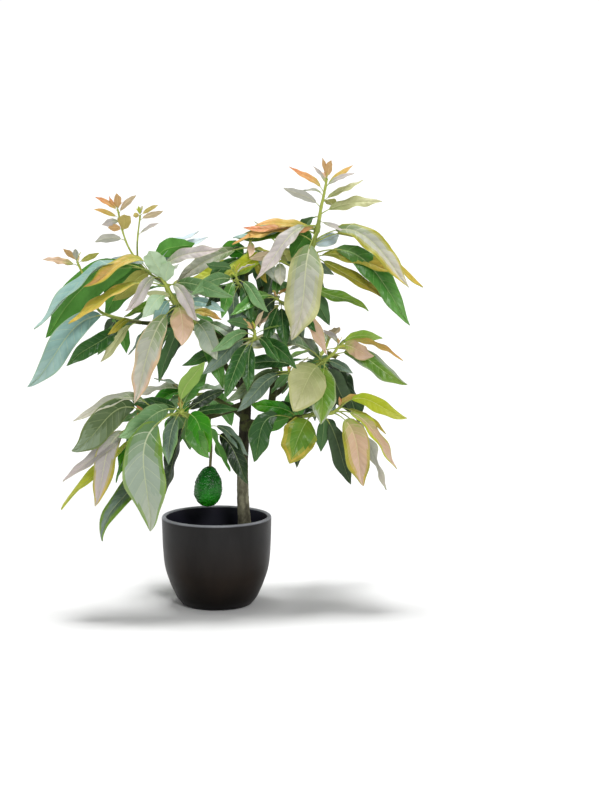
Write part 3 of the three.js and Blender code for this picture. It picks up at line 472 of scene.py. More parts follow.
# The masses whose leaves each piece joins.
LEAF_PIECES = {
    "upper_left_leaves": ("upper_left_foliage", "far_left_foliage"),
    "lower_left_leaves": ("lower_left_foliage", "fruiting_spray"),
    "middle_leaves": ("top_centre_foliage", "inner_left_foliage", "inner_right_foliage", "centre_foliage"),
    "upper_right_leaves": ("leader_foliage",),
    "lower_right_leaves": ("right_middle_foliage", "lower_right_foliage"),
    "back_left_leaves": ("back_left_foliage", "back_low_foliage"),
    "back_right_leaves": ("back_right_foliage", "back_top_foliage"),
}


# ---- small helpers ----
def linear(colour):
    """An sRGB colour of 0 to 255 as the linear numbers that a shader takes."""
    shares = [value / 255 for value in colour]
    return tuple(s / 12.92 if s <= 0.04045 else ((s + 0.055) / 1.055) ** 2.4 for s in shares)


def mixed(first, second, share):
    return tuple(a + (b - a) * share for a, b in zip(first, second))


def lerp(low, high, share):
    return low + (high - low) * share


def smooth_step(low, high, value):
    share = np.clip((value - low) / (high - low), 0, 1)
    return share * share * (3 - 2 * share)


def unit(vector):
    return vector / np.linalg.norm(vector, axis=-1, keepdims=True)


def route_point(route, share):
    """A point of the smooth curve through a route, which has the same share of the way for every span."""
    points = np.array(route, float)
    spans = len(points) - 1
    place = min(max(share, 0), 1) * spans
    span = min(int(place), spans - 1)
    rest = place - span
    here, ahead = points[span], points[span + 1]
    before = points[span - 1] if span else 2 * here - ahead
    after = points[span + 2] if span + 2 <= spans else 2 * ahead - here
    leave, arrive = (ahead - before) / 2, (after - here) / 2
    cube = 2 * here - 2 * ahead + leave + arrive
    square = -3 * here + 3 * ahead - 2 * leave - arrive
    return ((cube * rest + square) * rest + leave) * rest + here


def radius_at(radii, share):
    return float(np.interp(share * (len(radii) - 1), range(len(radii)), radii))


def seeded_random(seed):
    """The part's own generator of numbers from 0 to 1."""
    state = seed

    def draw():
        nonlocal state
        state = (state + 0x6D2B79F5) & 0xFFFFFFFF
        mix = ((state ^ state >> 15) * (state | 1)) & 0xFFFFFFFF
        mix = ((mix + (mix ^ mix >> 7) * (mix | 61)) & 0xFFFFFFFF) ^ mix
        return (mix ^ mix >> 14) / 4294967296

    return draw


# ---- meshes ----
def add_object(name, data):
    thing = bpy.data.objects.new(name, data)
    bpy.context.scene.collection.objects.link(thing)
    return thing


class Heap:
    """Many small closed forms, gathered into one mesh. Each face keeps the key of its material."""

    def __init__(self):
        self.points = []
        self.faces = []
        self.keys = []
        self.count = 0

    def add(self, points, faces, keys):
        points = np.asarray(points, float)
        self.points.append(points)
        self.faces += [tuple(int(corner) + self.count for corner in face) for face in faces]
        self.keys += [keys] * len(faces) if isinstance(keys, str) else keys
        self.count += len(points)

    def build(self, name, material_of, sharp=50):
        """The mesh object. material_of gives the material for a key."""
        mesh = bpy.data.meshes.new(name)
        mesh.from_pydata(np.concatenate(self.points) * MM, [], self.faces)
        order = sorted(set(self.keys))
        for key in order:
            mesh.materials.append(material_of(key))
        index = {key: place for place, key in enumerate(order)}
        mesh.polygons.foreach_set("material_index", [index[key] for key in self.keys])
        mesh.polygons.foreach_set("use_smooth", [True] * len(mesh.polygons))
        mesh.set_sharp_from_angle(angle=math.radians(sharp))
        return add_object(name, mesh)


def skin(rings, sides, first, foot, tip):
    """Faces of a closed body: between its rings, whose points start at an index, and to its end points."""
    starts = range(first, first + rings * sides, sides)
    faces = []
    for start in starts[:-1]:
        for side in range(sides):
            here, ahead = start + side, start + (side + 1) % sides
            faces.append((here, ahead, ahead + sides, here + sides))
    for side in range(sides):
        ahead = (side + 1) % sides
        faces.append((foot, starts[0] + ahead, starts[0] + side))
        faces.append((tip, starts[-1] + side, starts[-1] + ahead))
    return faces


def tube(centres, radii, sides):
    """Points and faces of a closed tube through its rings' centres."""
    centres = np.asarray(centres, float)
    across = np.array([0.0, 1.0, 0.0])
    turns = np.arange(sides) / sides * 2 * math.pi
    rings = []
    for centre, tangent, radius in zip(centres, np.gradient(centres, axis=0), radii):
        along = unit(tangent)
        across = unit(across - along * across.dot(along))
        other = np.cross(along, across)
        rings.append(centre + radius * (np.outer(np.cos(turns), across) + np.outer(np.sin(turns), other)))
    end = len(rings) * sides
    return np.vstack([*rings, centres[0], centres[-1]]), skin(len(rings), sides, 0, end, end + 1)


def lathe(profile, sides):
    """Points and faces of a profile that starts and ends on the axis, turned round it."""
    turns = np.arange(sides) / sides * 2 * math.pi
    points = [(0, 0, profile[0][1])]
    for radius, height in profile[1:-1]:
        points += [(radius * math.cos(turn), radius * math.sin(turn), height) for turn in turns]
    points.append((0, 0, profile[-1][1]))
    return np.array(points), skin(len(profile) - 2, sides, 1, 0, len(points) - 1)


# ---- materials ----
class Nodes:
    """Short calls that add nodes to a material or a world."""

    def __init__(self, owner):
        self.tree = owner.node_tree

    def fill(self, node, **inputs):
        """Set a node's inputs, with _ for a space in their names, to numbers or to other nodes' outputs."""
        for name, value in inputs.items():
            socket = node.inputs[name.replace("_", " ")]
            if isinstance(value, bpy.types.NodeSocket):
                self.tree.links.new(value, socket)
            else:
                socket.default_value = value
        return node

    def add(self, kind, **inputs):
        return self.fill(self.tree.nodes.new(f"ShaderNode{kind}"), **inputs)

    def shade(self, **inputs):
        self.fill(self.tree.nodes["Principled BSDF"], **inputs)

    def place(self):
        return self.add("TexCoord").outputs["Object"]

    def noise(self, scale, detail=4, stretch=(1, 1, 1), roughness=0.55):
        """Noise of this many waves to the metre."""
        place = self.add("Mapping", Scale=stretch, Vector=self.place()).outputs["Vector"]
        node = self.add("TexNoise", Scale=scale, Detail=detail, Roughness=roughness, Vector=place)
        return node.outputs["Fac"]

    def cells(self, scale):
        return self.add("TexVoronoi", Scale=scale, Vector=self.place()).outputs["Distance"]

    def ramp(self, value, stops):
        """Colours along a value: stops are (place, colour)."""
        node = self.add("ValToRGB", Fac=value)
        elements = node.color_ramp.elements
        while len(elements) < len(stops):
            elements.new(0.5)
        for element, (place, colour) in zip(elements, stops):
            element.position = place
            element.color = (*linear(colour), 1)
        return node.outputs["Color"]

    def mix(self, share, first, second):
        node = self.add("Mix")
        node.data_type = "RGBA"
        return self.fill(node, Factor=share, A=first, B=second).outputs["Result"]

    def attribute(self, name):
        node = self.add("Attribute")
        node.attribute_name = name
        return node.outputs["Fac"]

    def height(self, low, high):
        """0 at one height of the part and 1 at another, in millimetres."""
        upright = self.add("SeparateXYZ", Vector=self.place()).outputs["Z"]
        return self.add("MapRange", From_Min=low * MM, From_Max=high * MM, Value=upright).outputs["Result"]

    def range(self, value, low, high):
        """A value of 0 to 1 spread between two numbers."""
        return self.add("MapRange", To_Min=low, To_Max=high, Value=value).outputs["Result"]

    def bump(self, height, depth):
        """Relief this many millimetres deep."""
        self.shade(Normal=self.add("Bump", Distance=depth * MM, Height=height).outputs["Normal"])


def new_material(name, colour, roughness, specular):
    """A material of one colour, and the calls that add nodes to it."""
    material = bpy.data.materials.new(name)
    material.use_nodes = True
    nodes = Nodes(material)
    nodes.shade(Base_Color=(*linear(colour), 1), Roughness=roughness, Specular_IOR_Level=specular)
    return material, nodes


# The zones of a blade: those that follow each other along it, each with its end, and then the others.
ALONG_ZONES = {
    "foot": 0.1, "low": 0.2, "rising": 0.32, "blade": 0.58, "falling": 0.7, "high": 0.84, "tip": 2,
}
ZONES = (*ALONG_ZONES, "edge", "rim", "vein", "midrib")
EDGE, RIM, VEIN, MIDRIB = range(len(ALONG_ZONES), len(ZONES))


def zone_colour(first, second, zone):
    """The colour of a zone of a leaf that is halfway between two tints."""
    foot, blade, tip = [mixed(*pair, 0.5) for pair in zip(TINTS[first], TINTS[second])]
    rim, midrib = mixed(blade, RIM_TONE, 0.3), mixed(blade, RIB_TONE, 0.45)
    return {
        "foot": foot, "low": mixed(foot, blade, 0.35), "rising": mixed(foot, blade, 0.7), "blade": blade,
        "falling": mixed(blade, tip, 0.35), "high": mixed(blade, tip, 0.7), "tip": tip,
        "edge": mixed(blade, rim, 0.4), "rim": rim, "vein": mixed(blade, midrib, 0.55), "midrib": midrib,
        "under": mixed(blade, UNDER_TONE, 0.28),
    }[zone]


@cache
def leaf_material(key):
    """One zone of one tint: a plain colour under the fine relief of a leathery leaf."""
    first, second, zone = key
    roughness = UNDERSIDE if zone == "under" else GLOSSY if first in GLOSSY_TINTS else DULL
    material, nodes = new_material(f"leaf_{first}_{second}_{zone}", zone_colour(*key), roughness, 0.26)
    nodes.bump(nodes.noise(260, 6), 0.5)
    return material


def stem_material(key):
    material, nodes = new_material(key, STEM_COLOURS[key], 0.5, 0.4)
    nodes.bump(nodes.noise(1500, 4, (1, 1, 0.3)), 0.15)
    return material


def bark_material(key):
    """Grey-brown at the foot, with painted shade making it darker and mossy olive from the crown's shade up,
    and green on young wood.
    """
    material, nodes = new_material(key, (92, 82, 66), 0.85, 0.25)
    foot = nodes.ramp(nodes.noise(190, 7, WOOD_GRAIN, 0.65), [
        (0.32, (54, 50, 38)), (0.46, (94, 91, 74)), (0.58, (134, 131, 108)), (0.7, (74, 70, 54)),
    ])
    # painted shade: the darker bark from the crown's shade up
    shaded = nodes.ramp(nodes.noise(210, 7, WOOD_GRAIN, 0.65), [
        (0.32, (26, 26, 16)), (0.5, (50, 46, 32)), (0.66, (74, 74, 42)),
    ])
    green = nodes.ramp(nodes.noise(240, 5, WOOD_GRAIN), [(0.3, (54, 58, 30)), (0.7, (88, 96, 48))])
    # the painted shade takes over between the two heights of SHADE_STARTS
    wood = nodes.mix(nodes.height(*SHADE_STARTS), foot, shaded)
    nodes.shade(Base_Color=nodes.mix(nodes.attribute("youth"), wood, green))
    nodes.shade(Roughness=nodes.range(nodes.noise(300), 0.7, 0.95))
    nodes.bump(nodes.noise(1400, 8, (1, 1, 0.35), 0.7), 0.7)
    return material


def pot_material(key):
    """Charcoal glaze with a painted warm reflection browning it below, painted shade nearly black at the
    foot, a pale painted highlight on the lip, and a dark inside.
    """
    if key == "inside":
        return new_material("pot_inside", (32, 32, 44), 0.5, 0.2)[0]
    material, nodes = new_material("pot_glaze", (20, 19, 19), 0.42, 0.15)
    grain = nodes.noise(60, 5, (1, 1, 0.35))
    # painted shade: the glaze turns nearly black towards the foot
    foot = nodes.ramp(grain, [(0.35, (2, 1, 1)), (0.65, (5, 3, 2))])
    # painted warm reflection: the glaze is browner low on the side
    low = nodes.ramp(grain, [(0.35, (22, 16, 11)), (0.65, (30, 22, 16))])
    side = nodes.ramp(grain, [(0.35, (25, 24, 24)), (0.65, (34, 33, 33))])
    # painted highlight: the pale lip stands in for light caught on its rounded edge
    lip = nodes.ramp(grain, [(0.35, (128, 130, 136)), (0.65, (154, 156, 162))])
    # by height: painted shade at the foot, the painted reflection below, and the glaze's own colour above
    wall = nodes.mix(nodes.height(24, 50), nodes.mix(nodes.height(0, 20), foot, low), side)
    nodes.shade(Base_Color=nodes.mix(nodes.height(POT_HEIGHT - 1.6, POT_HEIGHT - 0.5), wall, lip))
    nodes.shade(Roughness=nodes.range(nodes.noise(120, 5), 0.34, 0.48))
    nodes.bump(nodes.noise(1500), 0.08)
    return material


def soil_material(key):
    dark, light = SOIL_COLOURS[key]
    material, nodes = new_material(key, dark, 0.95, 0.2)
    nodes.shade(Base_Color=nodes.ramp(nodes.noise(500, 6), [(0.3, dark), (0.7, light)]))
    nodes.bump(nodes.noise(2500, 8, roughness=0.7), 0.6)
    return material


def fruit_material(key):
    """Dark pebbled skin, greener at the blossom end, with pale corky specks on its pebbles."""
    material, nodes = new_material(key, (34, 84, 28), 0.24, 0.32)
    upper = nodes.ramp(nodes.noise(150, 5), [(0.35, (4, 54, 10)), (0.65, (18, 104, 24))])
    lower = nodes.ramp(nodes.noise(150, 5), [(0.35, (8, 88, 6)), (0.65, (30, 134, 16))])
    green = nodes.mix(nodes.height(90, 72), upper, lower)
    specks = nodes.ramp(nodes.cells(700), [
        (0.0, (176, 216, 132)), (0.1, (56, 132, 40)), (0.2, (12, 78, 14)),
    ])
    nodes.shade(Base_Color=nodes.mix(nodes.range(nodes.noise(90, 3), 0, 0.45), green, specks))
    nodes.shade(Roughness=nodes.range(nodes.noise(900, 3), 0.12, 0.3))
    nodes.bump(nodes.cells(1100), 0.3)
    return material


# ---- leaves ----
def seen_at(x, z, depth):
    """The place at a depth Y that shows at an X and Z of the front view."""
    return EYE + (np.array([x, 0, z]) - EYE) * (1 - depth / EYE[1])


def leaf_axes(azimuth, rise):
    """A leaf's own directions: along it, level to its left, and upright."""
    turn, lift = math.radians(azimuth), math.radians(rise)
    along = np.array([math.cos(lift) * math.cos(turn), math.cos(lift) * math.sin(turn), math.sin(lift)])
    level = np.array([-math.sin(turn), math.cos(turn), 0.0])
    return along, level, np.cross(along, level)


def roll_that_shows(share, azimuth, rise):
    """The roll, between a quarter turn either way, that shows a share of a leaf's width from the front. Of
    the two that do, it is the one that turns the leaf's upper face more to the front."""
    along, level, upright = leaf_axes(azimuth, rise)
    across = unit(np.array([-along[2], 0, along[0]]))
    flat, steep = level @ across, upright @ across
    fullest = math.atan2(steep, flat)
    aside = math.acos(min(1, share / math.hypot(flat, steep)))
    rolls = [math.atan(math.tan(roll)) for roll in (fullest + aside, fullest - aside)]
    faces = [level[1] * math.sin(roll) - upright[1] * math.cos(roll) for roll in rolls]
    return math.degrees(rolls[0] if faces[0] > faces[1] + 0.01 else rolls[1])


def named_leaf(leaf, root):
    """A named leaf's direction, rise, length, width, roll and arch."""
    _, x, z, behind, shown, arch = leaf
    reach = seen_at(x, z, root[1] + behind) - root
    length = float(np.linalg.norm(reach))
    width = min(max(shown, SLIM_BLADE * length), BROAD_BLADE * length)
    azimuth = math.degrees(math.atan2(reach[1], reach[0]))
    rise = math.degrees(math.asin(reach[2] / length))
    return azimuth, rise, length, width, roll_that_shows(shown / width, azimuth, rise), arch


class LeafLine:
    """A leaf's curved middle line. It arches up, bends and sways to its sides, and hooks down at its tip."""

    def __init__(self, root, azimuth, rise, length, roll, arch, rng):
        self.root, self.length, self.roll, self.arch = root, length, roll, arch
        self.along, level, self.upright = leaf_axes(azimuth, rise)
        self.twist = rng.uniform(*TWIST)
        self.bend = rng.uniform(*BEND)
        self.sway = rng.uniform(*SWAY)
        self.hook = rng.uniform(*HOOK)
        angle = math.radians(roll)
        self.left = level * math.cos(angle) + self.upright * math.sin(angle)

    def middle(self, share):
        share = np.asarray(share, float)[..., None]
        rise = self.arch * ARCH_PEAK * share * (1 - share) ** 2 - self.hook * smooth_step(*HOOK_SPAN, share)
        aside = BEND_PEAK * self.bend * share * (1 - share) + self.sway * np.sin(2 * math.pi * share)
        return self.root + self.length * (self.along * share + self.upright * rise + self.left * aside)

    def sides(self, share):
        """The directions to the leaf's left and up from its face, at each share of its length."""
        share = np.asarray(share, float)
        forward = unit(self.middle(share + SHORT_STEP) - self.middle(share - SHORT_STEP))
        above = unit(self.upright - forward * (forward @ self.upright)[..., None])
        angle = np.radians(self.roll + self.twist * (share - UNTWISTED_AT))[..., None]
        left = np.cross(above, forward) * np.cos(angle) + above * np.sin(angle)
        return left, np.cross(forward, left)


def blade_shape(share):
    """Half the blade's width along it, from 0 at its base to 0 at its tip, and 1 where it is widest."""
    widest = BLADE_RISE / (BLADE_RISE + BLADE_FALL)
    top = widest ** BLADE_RISE * (1 - widest) ** BLADE_FALL
    share = np.clip(share, 0, 1)
    drawn_out = 1 - DRAWN_TIP * smooth_step(*DRAWN_SPAN, share)
    return share ** BLADE_RISE * (1 - share) ** BLADE_FALL / top * drawn_out


def blade_rows(length, width):
    """Columns of numbers for the rows of a blade's grid: each row's place on the midrib and on the rim, half
    the blade's width at its end, half the midrib's width, and its place between two side veins."""
    veins = FEW_VEINS if length < SMALL_LEAF else SOME_VEINS if length <= LARGE_LEAF else MANY_VEINS
    rows, between = list(BASE_ROWS), [0.0] * len(BASE_ROWS)
    starts = VEINS_FROM + VEINS_SPAN * (np.arange(veins) + 0.5) / veins
    gap = starts[1] - starts[0]
    for start in starts:
        rows += [start - VEIN_WIDTH / 2, start + VEIN_WIDTH / 2, start + gap / 3, start + gap * 2 / 3]
        between += [0, 0, 0.33, 0.67]
    rows, between = np.array([*rows, 1.0]), np.array([*between, 0.0])
    half = blade_shape(rows) * width / 2
    margin = np.minimum(rows + VEIN_SLANT * half / (length * (1 - PETIOLE_SHARE)), 1)
    margin[-1] = 1
    margin_half = np.maximum(blade_shape(margin) * width / 2, LEAST_HALF)
    rib = np.minimum((RIB_BASE + RIB_GAIN * length) * (1 - RIB_TAPER * rows), margin_half * RIB_MOST)
    return [column[:, None] for column in (rows, margin, margin_half, rib, between)]


def blade_faces(height, breadth):
    """Faces between two grids of the same size, which are a blade's top and its underside: those of the top,
    of the underside and of the rim."""
    index = np.arange(height * breadth).reshape(height, breadth)
    below = index + height * breadth
    top = np.stack([index[:-1, :-1], index[1:, :-1], index[1:, 1:], index[:-1, 1:]], -1).reshape(-1, 4)
    under = np.stack([below[:-1, :-1], below[:-1, 1:], below[1:, 1:], below[1:, :-1]], -1).reshape(-1, 4)
    ring = np.concatenate([index[:, 0], index[-1, 1:], index[-2::-1, -1], index[0, -2:0:-1]])
    ahead = np.roll(ring, -1)
    return top, under, np.stack([ring, ring + height * breadth, ahead + height * breadth, ahead], -1)


def blade_paint(along, across, offsets, rib, tints, rng):
    """The material of each cell of a blade's top, and of its underside: two tints and a zone."""
    grids = (along, across, offsets)
    cell_along, cell_across, cell_offset = [(grid[:-1, :-1] + grid[1:, 1:]) / 2 for grid in grids]
    side = np.sign(cell_offset) * cell_across
    place = cell_along + rng.uniform(*ZONE_SHIFT) + ZONE_WAVE * np.sin(4 * side + rng.uniform(*ANY_PHASE))
    zone = np.searchsorted(list(ALONG_ZONES.values()), place)
    zone[cell_across > EDGE_FROM] = EDGE
    zone[cell_across > RIM_FROM] = RIM
    vein_rows = zone[len(BASE_ROWS)::VEIN_ROWS]
    vein_rows[cell_across[len(BASE_ROWS)::VEIN_ROWS] < VEINS_TO] = VEIN
    zone[np.abs(cell_offset) < rib[:-1] * 0.9] = MIDRIB

    tint, partner = tints
    shift = np.where(side > 0, rng.uniform(*ANY_PHASE), rng.uniform(*ANY_PHASE))
    turn = 1 - PARTNER_WANDER + PARTNER_WANDER * np.sin(PARTNER_WAVES * cell_along + shift)
    steps = (cell_across > turn - PARTNER_WANDER).astype(int) + (cell_across > turn)
    pairs = ((tint, tint), (tint, partner), (partner, partner))
    top = [(*pairs[step], ZONES[place]) for place, step in zip(zone.ravel(), steps.ravel())]
    return top, [(tint, tint, "midrib" if place == MIDRIB else "under") for place in zone.ravel()]


def add_blade(heap, line, length, width, tints, rng):
    """A leathery blade with a midrib, side veins that run forward, a waved rim and a thin closed body."""
    rows, margin, half, rib, between = blade_rows(length, width)
    right = np.array(COLUMN_SHARES)
    offsets = half * np.concatenate([-right[::-1], [0, 0, 0], right])
    offsets[:, [len(right)]] = -rib
    offsets[:, [len(right) + 2]] = rib
    across = np.abs(offsets) / half
    swells = rng.uniform(*SWELLS) * rows + np.where(offsets > 0, *SWELL_STARTS) * rng.random()
    offsets *= 1 + SWELL_SIZE * np.sin(2 * math.pi * swells) * across * np.sin(math.pi * rows)
    along = rows + (margin - rows) * across ** VEIN_CURVE
    share = PETIOLE_SHARE + (1 - PETIOLE_SHARE) * along

    fold = LEAF_FOLD * rng.uniform(*FOLD_SPREAD)
    curl = rng.uniform(*RIM_CURL)
    waves = rng.uniform(*RIM_WAVES)
    phase = np.where(offsets > 0, rng.uniform(0, 1), rng.uniform(0, 1))
    wave = rng.uniform(*RIM_WAVE_SIZE) * (SMALL_LEAF_WAVES if length < SMALL_LEAF else 1)
    lift = fold * np.abs(offsets) - curl * fold * half * across ** 2.5
    lift += wave * half * across ** 2 * np.sin(2 * math.pi * (waves * along + phase))
    puff = PUFF * length * np.sin(math.pi * between) * np.sin(math.pi * np.clip(across, 0, 1)) ** 0.8
    groove = GROOVE * length * np.exp(-(offsets / (rib * 1.6 + 0.05)) ** 2)
    keel = KEEL * length * np.exp(-(offsets / (rib + 0.1)) ** 2)
    left, above = line.sides(share)
    surface = line.middle(share) + left * offsets[..., None]
    thick = LEAF_THICKNESS * (1 - RIM_THINNING * across)
    top = surface + above * (lift + puff - groove + thick / 2)[..., None]
    bottom = surface + above * (lift + (puff - groove) * UNDER_RELIEF - thick / 2 - keel)[..., None]

    top_faces, under_faces, rim_faces = blade_faces(*offsets.shape)
    top_paint, under_paint = blade_paint(along, across, offsets, rib, tints, rng)
    rim_paint = [(tints[1], tints[1], "rim")] * len(rim_faces)
    points = np.concatenate([top.reshape(-1, 3), bottom.reshape(-1, 3)])
    heap.add(points, [*top_faces, *under_faces, *rim_faces], top_paint + under_paint + rim_paint)


def add_petiole(heap, line, length, width):
    """A leaf's stalk, from a swollen foot to a little way under its blade."""
    shares = np.linspace(0, PETIOLE_SHARE + PETIOLE_UNDER_BLADE, PETIOLE_RINGS)
    size = PETIOLE_RADIUS * lerp(SHORT_LEAF_PETIOLE, 1, min(1, length / FULL_LENGTH))
    size *= lerp(NARROW_LEAF_PETIOLE, 1, min(1, width / FULL_WIDTH))
    radii = size * np.interp(np.linspace(0, 1, PETIOLE_RINGS), *PETIOLE_TAPER)
    heap.add(*tube(line.middle(shares), radii, PETIOLE_SIDES), "petiole")


def rule_leaves(rule, draw):
    """The leaves that a shoot's rule adds: drooping and long at its foot, raised and short at its tip."""
    count, first, last, longest = rule

    def vary(size):
        return (draw() - 0.5) * 2 * size

    for index in range(count):
        place = (index + 0.5) / count
        age = place ** RULE["late_power"]
        spiral = (GOLDEN_SECTION * (index + 0.5)) % 1
        turn = first + (last - first) * spiral + vary(RULE["turn"])
        lift = lerp(*RULE["rise"], age) + vary(RULE["lift"])
        length = longest * (1 - RULE["shortening"] * age) * (1 + vary(RULE["length"]))
        width = length * (RULE["slim_width"] + RULE["width_gain"] * length)
        at = lerp(*RULE["stretch"], place)
        roll = vary(RULE["roll"])
        yield at, place, (turn, lift, length, width, roll, RULE["arch"] + vary(RULE["arch_spread"]))


def rule_tint(place, rng):
    return rng.choice(OLD_TINTS if place < OLD_TO else GROWN_TINTS if place < GROWN_TO else YOUNG_TINTS)


def grow_leaf(leaves, stems, root, leaf, tints, rng):
    azimuth, rise, length, width, roll, arch = leaf
    line = LeafLine(root, azimuth, rise, length, roll, arch, rng)
    add_blade(leaves, line, length, width, tints, rng)
    add_petiole(stems, line, length, width)


def limb_line(route, radii, span_steps):
    """A limb's rings: their places along it from 0 to 1, their centres and their radii."""
    shares = np.linspace(0, 1, span_steps * (len(route) - 1) + 1)
    centres = np.array([route_point(route, share) for share in shares])
    return shares, centres, np.array([radius_at(radii, share) for share in shares])


def add_stem(stems, row, places, is_stalk):
    """A green shoot, a little swollen where each leaf leaves it."""
    shares, centres, radii = limb_line(row["route"], row["radii"], STEM_STEPS)
    steps = len(shares) - 1
    for place in places:
        radii *= 1 + KNUCKLE * np.exp(-((shares - place) * steps / KNUCKLE_STEPS) ** 2)
    points, faces = tube(centres, radii, STEM_SIDES)
    keys = []
    for face in faces:
        share = min(face[1] // STEM_SIDES / steps, 1)
        age = "stem_old" if share < OLD_STEM_TO else "stem_grown" if share < GROWN_STEM_TO else "stem_young"
        keys.append("stalk" if is_stalk else age)
    stems.add(points, faces, keys)


def grow_mass(name, leaves, stems):
    """Every shoot of a mass with its stem, its named leaves, the rule's leaves and a bud at its tip."""
    rng = random.Random(name)
    draw = seeded_random(list(MASSES).index(name) + 1)
    is_stalk = name == "fruiting_spray"
    for row in MASSES[name]:
        route = row["route"]
        added = list(rule_leaves(row["rule"], draw)) if row["rule"] else []
        add_stem(stems, row, [leaf[0] for leaf in [*row["leaves"], *added]], is_stalk)
        for *leaf, tint in row["leaves"]:
            root = route_point(route, leaf[0])
            main, *partner = tint.split()
            grow_leaf(leaves, stems, root, named_leaf(leaf, root), (main, *(partner or [main])), rng)
        for at, place, leaf in added:
            tint = rule_tint(place, rng)
            grow_leaf(leaves, stems, route_point(route, at), leaf, (tint, tint), rng)
        for turn in () if is_stalk else (0, 120, 240):
            size = rng.uniform(*BUD_LENGTH)
            turn += rng.uniform(*BUD_TURN)
            leaf = (turn, rng.uniform(*BUD_RISE), size, size * BUD_WIDTH, 0, BUD_ARCH)
            tint = rng.choice(BUD_TINTS)
            grow_leaf(leaves, stems, route_point(route, 1), leaf, (tint, tint), rng)


# ---- wood ----
def wood_relief(point, radius):
    """How far the bark stands out at a point: long ridges, a fine grain, and rings round the limb."""
    ridge = 0.5 - abs(noise.noise(Vector(point * RIDGE_GRAIN)))
    ring = noise.noise(Vector(point * RING_GRAIN))
    fine = noise.noise(Vector(point) * FINE_GRAIN)
    depth = RIDGE_DEPTH * (ridge - 0.3) + FINE_DEPTH * fine + RING_DEPTH * max(0, ring - 0.25)
    return depth * min(1, radius / ROUGH_RADIUS)


def make_wood():
    """Trunk and boughs as one skin: joined tubes, rounded at their crotches, with the bark's relief."""
    heap = Heap()
    lines = [limb_line(*limb, LIMB_STEPS)[1:] for limb in (TRUNK, *BOUGHS.values())]
    for centres, radii in lines:
        heap.add(*tube(centres, radii, LIMB_SIDES), "bark")
    piece = heap.build("bark_skin", bark_material)
    remesh = piece.modifiers.new("join", "REMESH")
    remesh.mode = "VOXEL"
    remesh.voxel_size = BARK_VOXEL * MM
    soften = piece.modifiers.new("soften", "SMOOTH")
    soften.factor = 0.5
    soften.iterations = BARK_SOFTENING
    evaluated = piece.evaluated_get(bpy.context.evaluated_depsgraph_get())
    mesh = bpy.data.meshes.new_from_object(evaluated)
    piece.modifiers.clear()
    mesh.materials.clear()
    mesh.materials.append(piece.data.materials[0])
    piece.data = mesh

    sizes = np.concatenate([radii for _, radii in lines])
    tree = KDTree(len(sizes))
    for index, centre in enumerate(np.concatenate([centres for centres, _ in lines])):
        tree.insert(centre, index)
    tree.balance()
    points = np.zeros(len(mesh.vertices) * 3)
    normals = np.zeros(len(mesh.vertices) * 3)
    mesh.vertices.foreach_get("co", points)
    mesh.vertices.foreach_get("normal", normals)
    points, normals = points.reshape(-1, 3) / MM, normals.reshape(-1, 3)
    youth = np.zeros(len(points))
    for index, point in enumerate(points):
        radius = sizes[tree.find(point)[1]]
        youth[index] = 1 - smooth_step(*GREEN_RADII, radius)
        points[index] += normals[index] * wood_relief(point, radius)
    mesh.vertices.foreach_set("co", (points * MM).ravel())
    mesh.attributes.new("youth", "FLOAT", "POINT").data.foreach_set("value", youth)
    mesh.polygons.foreach_set("use_smooth", [True] * len(mesh.polygons))
    mesh.update()
    return piece


# ---- fruit ----
def make_fruit():
    """A pebbled avocado hanging from the end of its stalk."""
    profile = []
    for angle in np.linspace(0, math.pi, FRUIT_STEPS + 1):
        neck = 1 - FRUIT_NECK * math.cos(angle / 2) ** 3
        profile.append((FRUIT_RADIUS * math.sin(angle) * neck, -FRUIT_LENGTH / 2 * (1 - math.cos(angle))))
    points, faces = lathe(profile[::-1], FRUIT_SIDES)
    middle = np.array([0, 0, -FRUIT_LENGTH / 2])
    for index, point in enumerate(points):
        pebble = noise.voronoi(Vector(point) * PEBBLE_GRAIN)[0][0]
        lump = noise.noise(Vector(point) * LUMP_GRAIN)
        relief = PEBBLE_DEPTH * (PEBBLE_LEVEL - pebble) + LUMP_DEPTH * lump
        points[index] = point + unit(point - middle) * relief
    turn = np.array(Matrix.Rotation(math.radians(FRUIT_LEAN), 3, "Y"))
    stalk_end = np.array(MASSES["fruiting_spray"][0]["route"][-1], float)
    heap = Heap()
    heap.add(points @ turn.T + stalk_end + (0, 0, FRUIT_STALK_SUNK), faces, "fruit_skin")
    return heap.build("avocado_fruit", fruit_material, sharp=180)


# ---- pot and soil ----
def pot_side():
    """The outline of the pot's side, from its foot to its lip, as radii and heights."""
    outline = [(radius, 0, height) for radius, height in POT_OUTLINE]
    points = [route_point(outline, share) for share in np.linspace(0, 1, POT_STEPS + 1)]
    return [(radius, height) for radius, _, height in points]


def pot_radius_at(height):
    radii, heights = zip(*pot_side())
    return float(np.interp(height, heights, radii))


def inside_profile(top, gap):
    """The pot's inside from a height down to its floor, drawn in by a gap."""
    heights = np.linspace(top, POT_FLOOR + gap, INSIDE_STEPS)
    return [(pot_radius_at(height) - POT_WALL - gap, height) for height in heights] + [(0, POT_FLOOR + gap)]


def make_pot():
    lip = POT_WALL / 2
    rounds = [math.radians(angle) for angle in range(15, 180, 15)]
    top = [(POT_RIM_RADIUS + lip * (math.cos(a) - 1), POT_HEIGHT + lip * (math.sin(a) - 1)) for a in rounds]
    foot = [(0, 0), (POT_FOOT_RADIUS - 1, 0), (POT_FOOT_RADIUS, 0), (POT_FOOT_RADIUS + 1.6, 0.2)]
    outside = [*foot, *pot_side(), *top]
    points, faces = lathe([*outside, *inside_profile(POT_HEIGHT - lip, 0)], POT_SIDES)
    first_inside = 1 + (len(outside) - 2) * POT_SIDES
    heap = Heap()
    heap.add(points, faces, ["inside" if min(face) >= first_inside else "glaze" for face in faces])
    return heap.build("glazed_pot", pot_material, sharp=40)


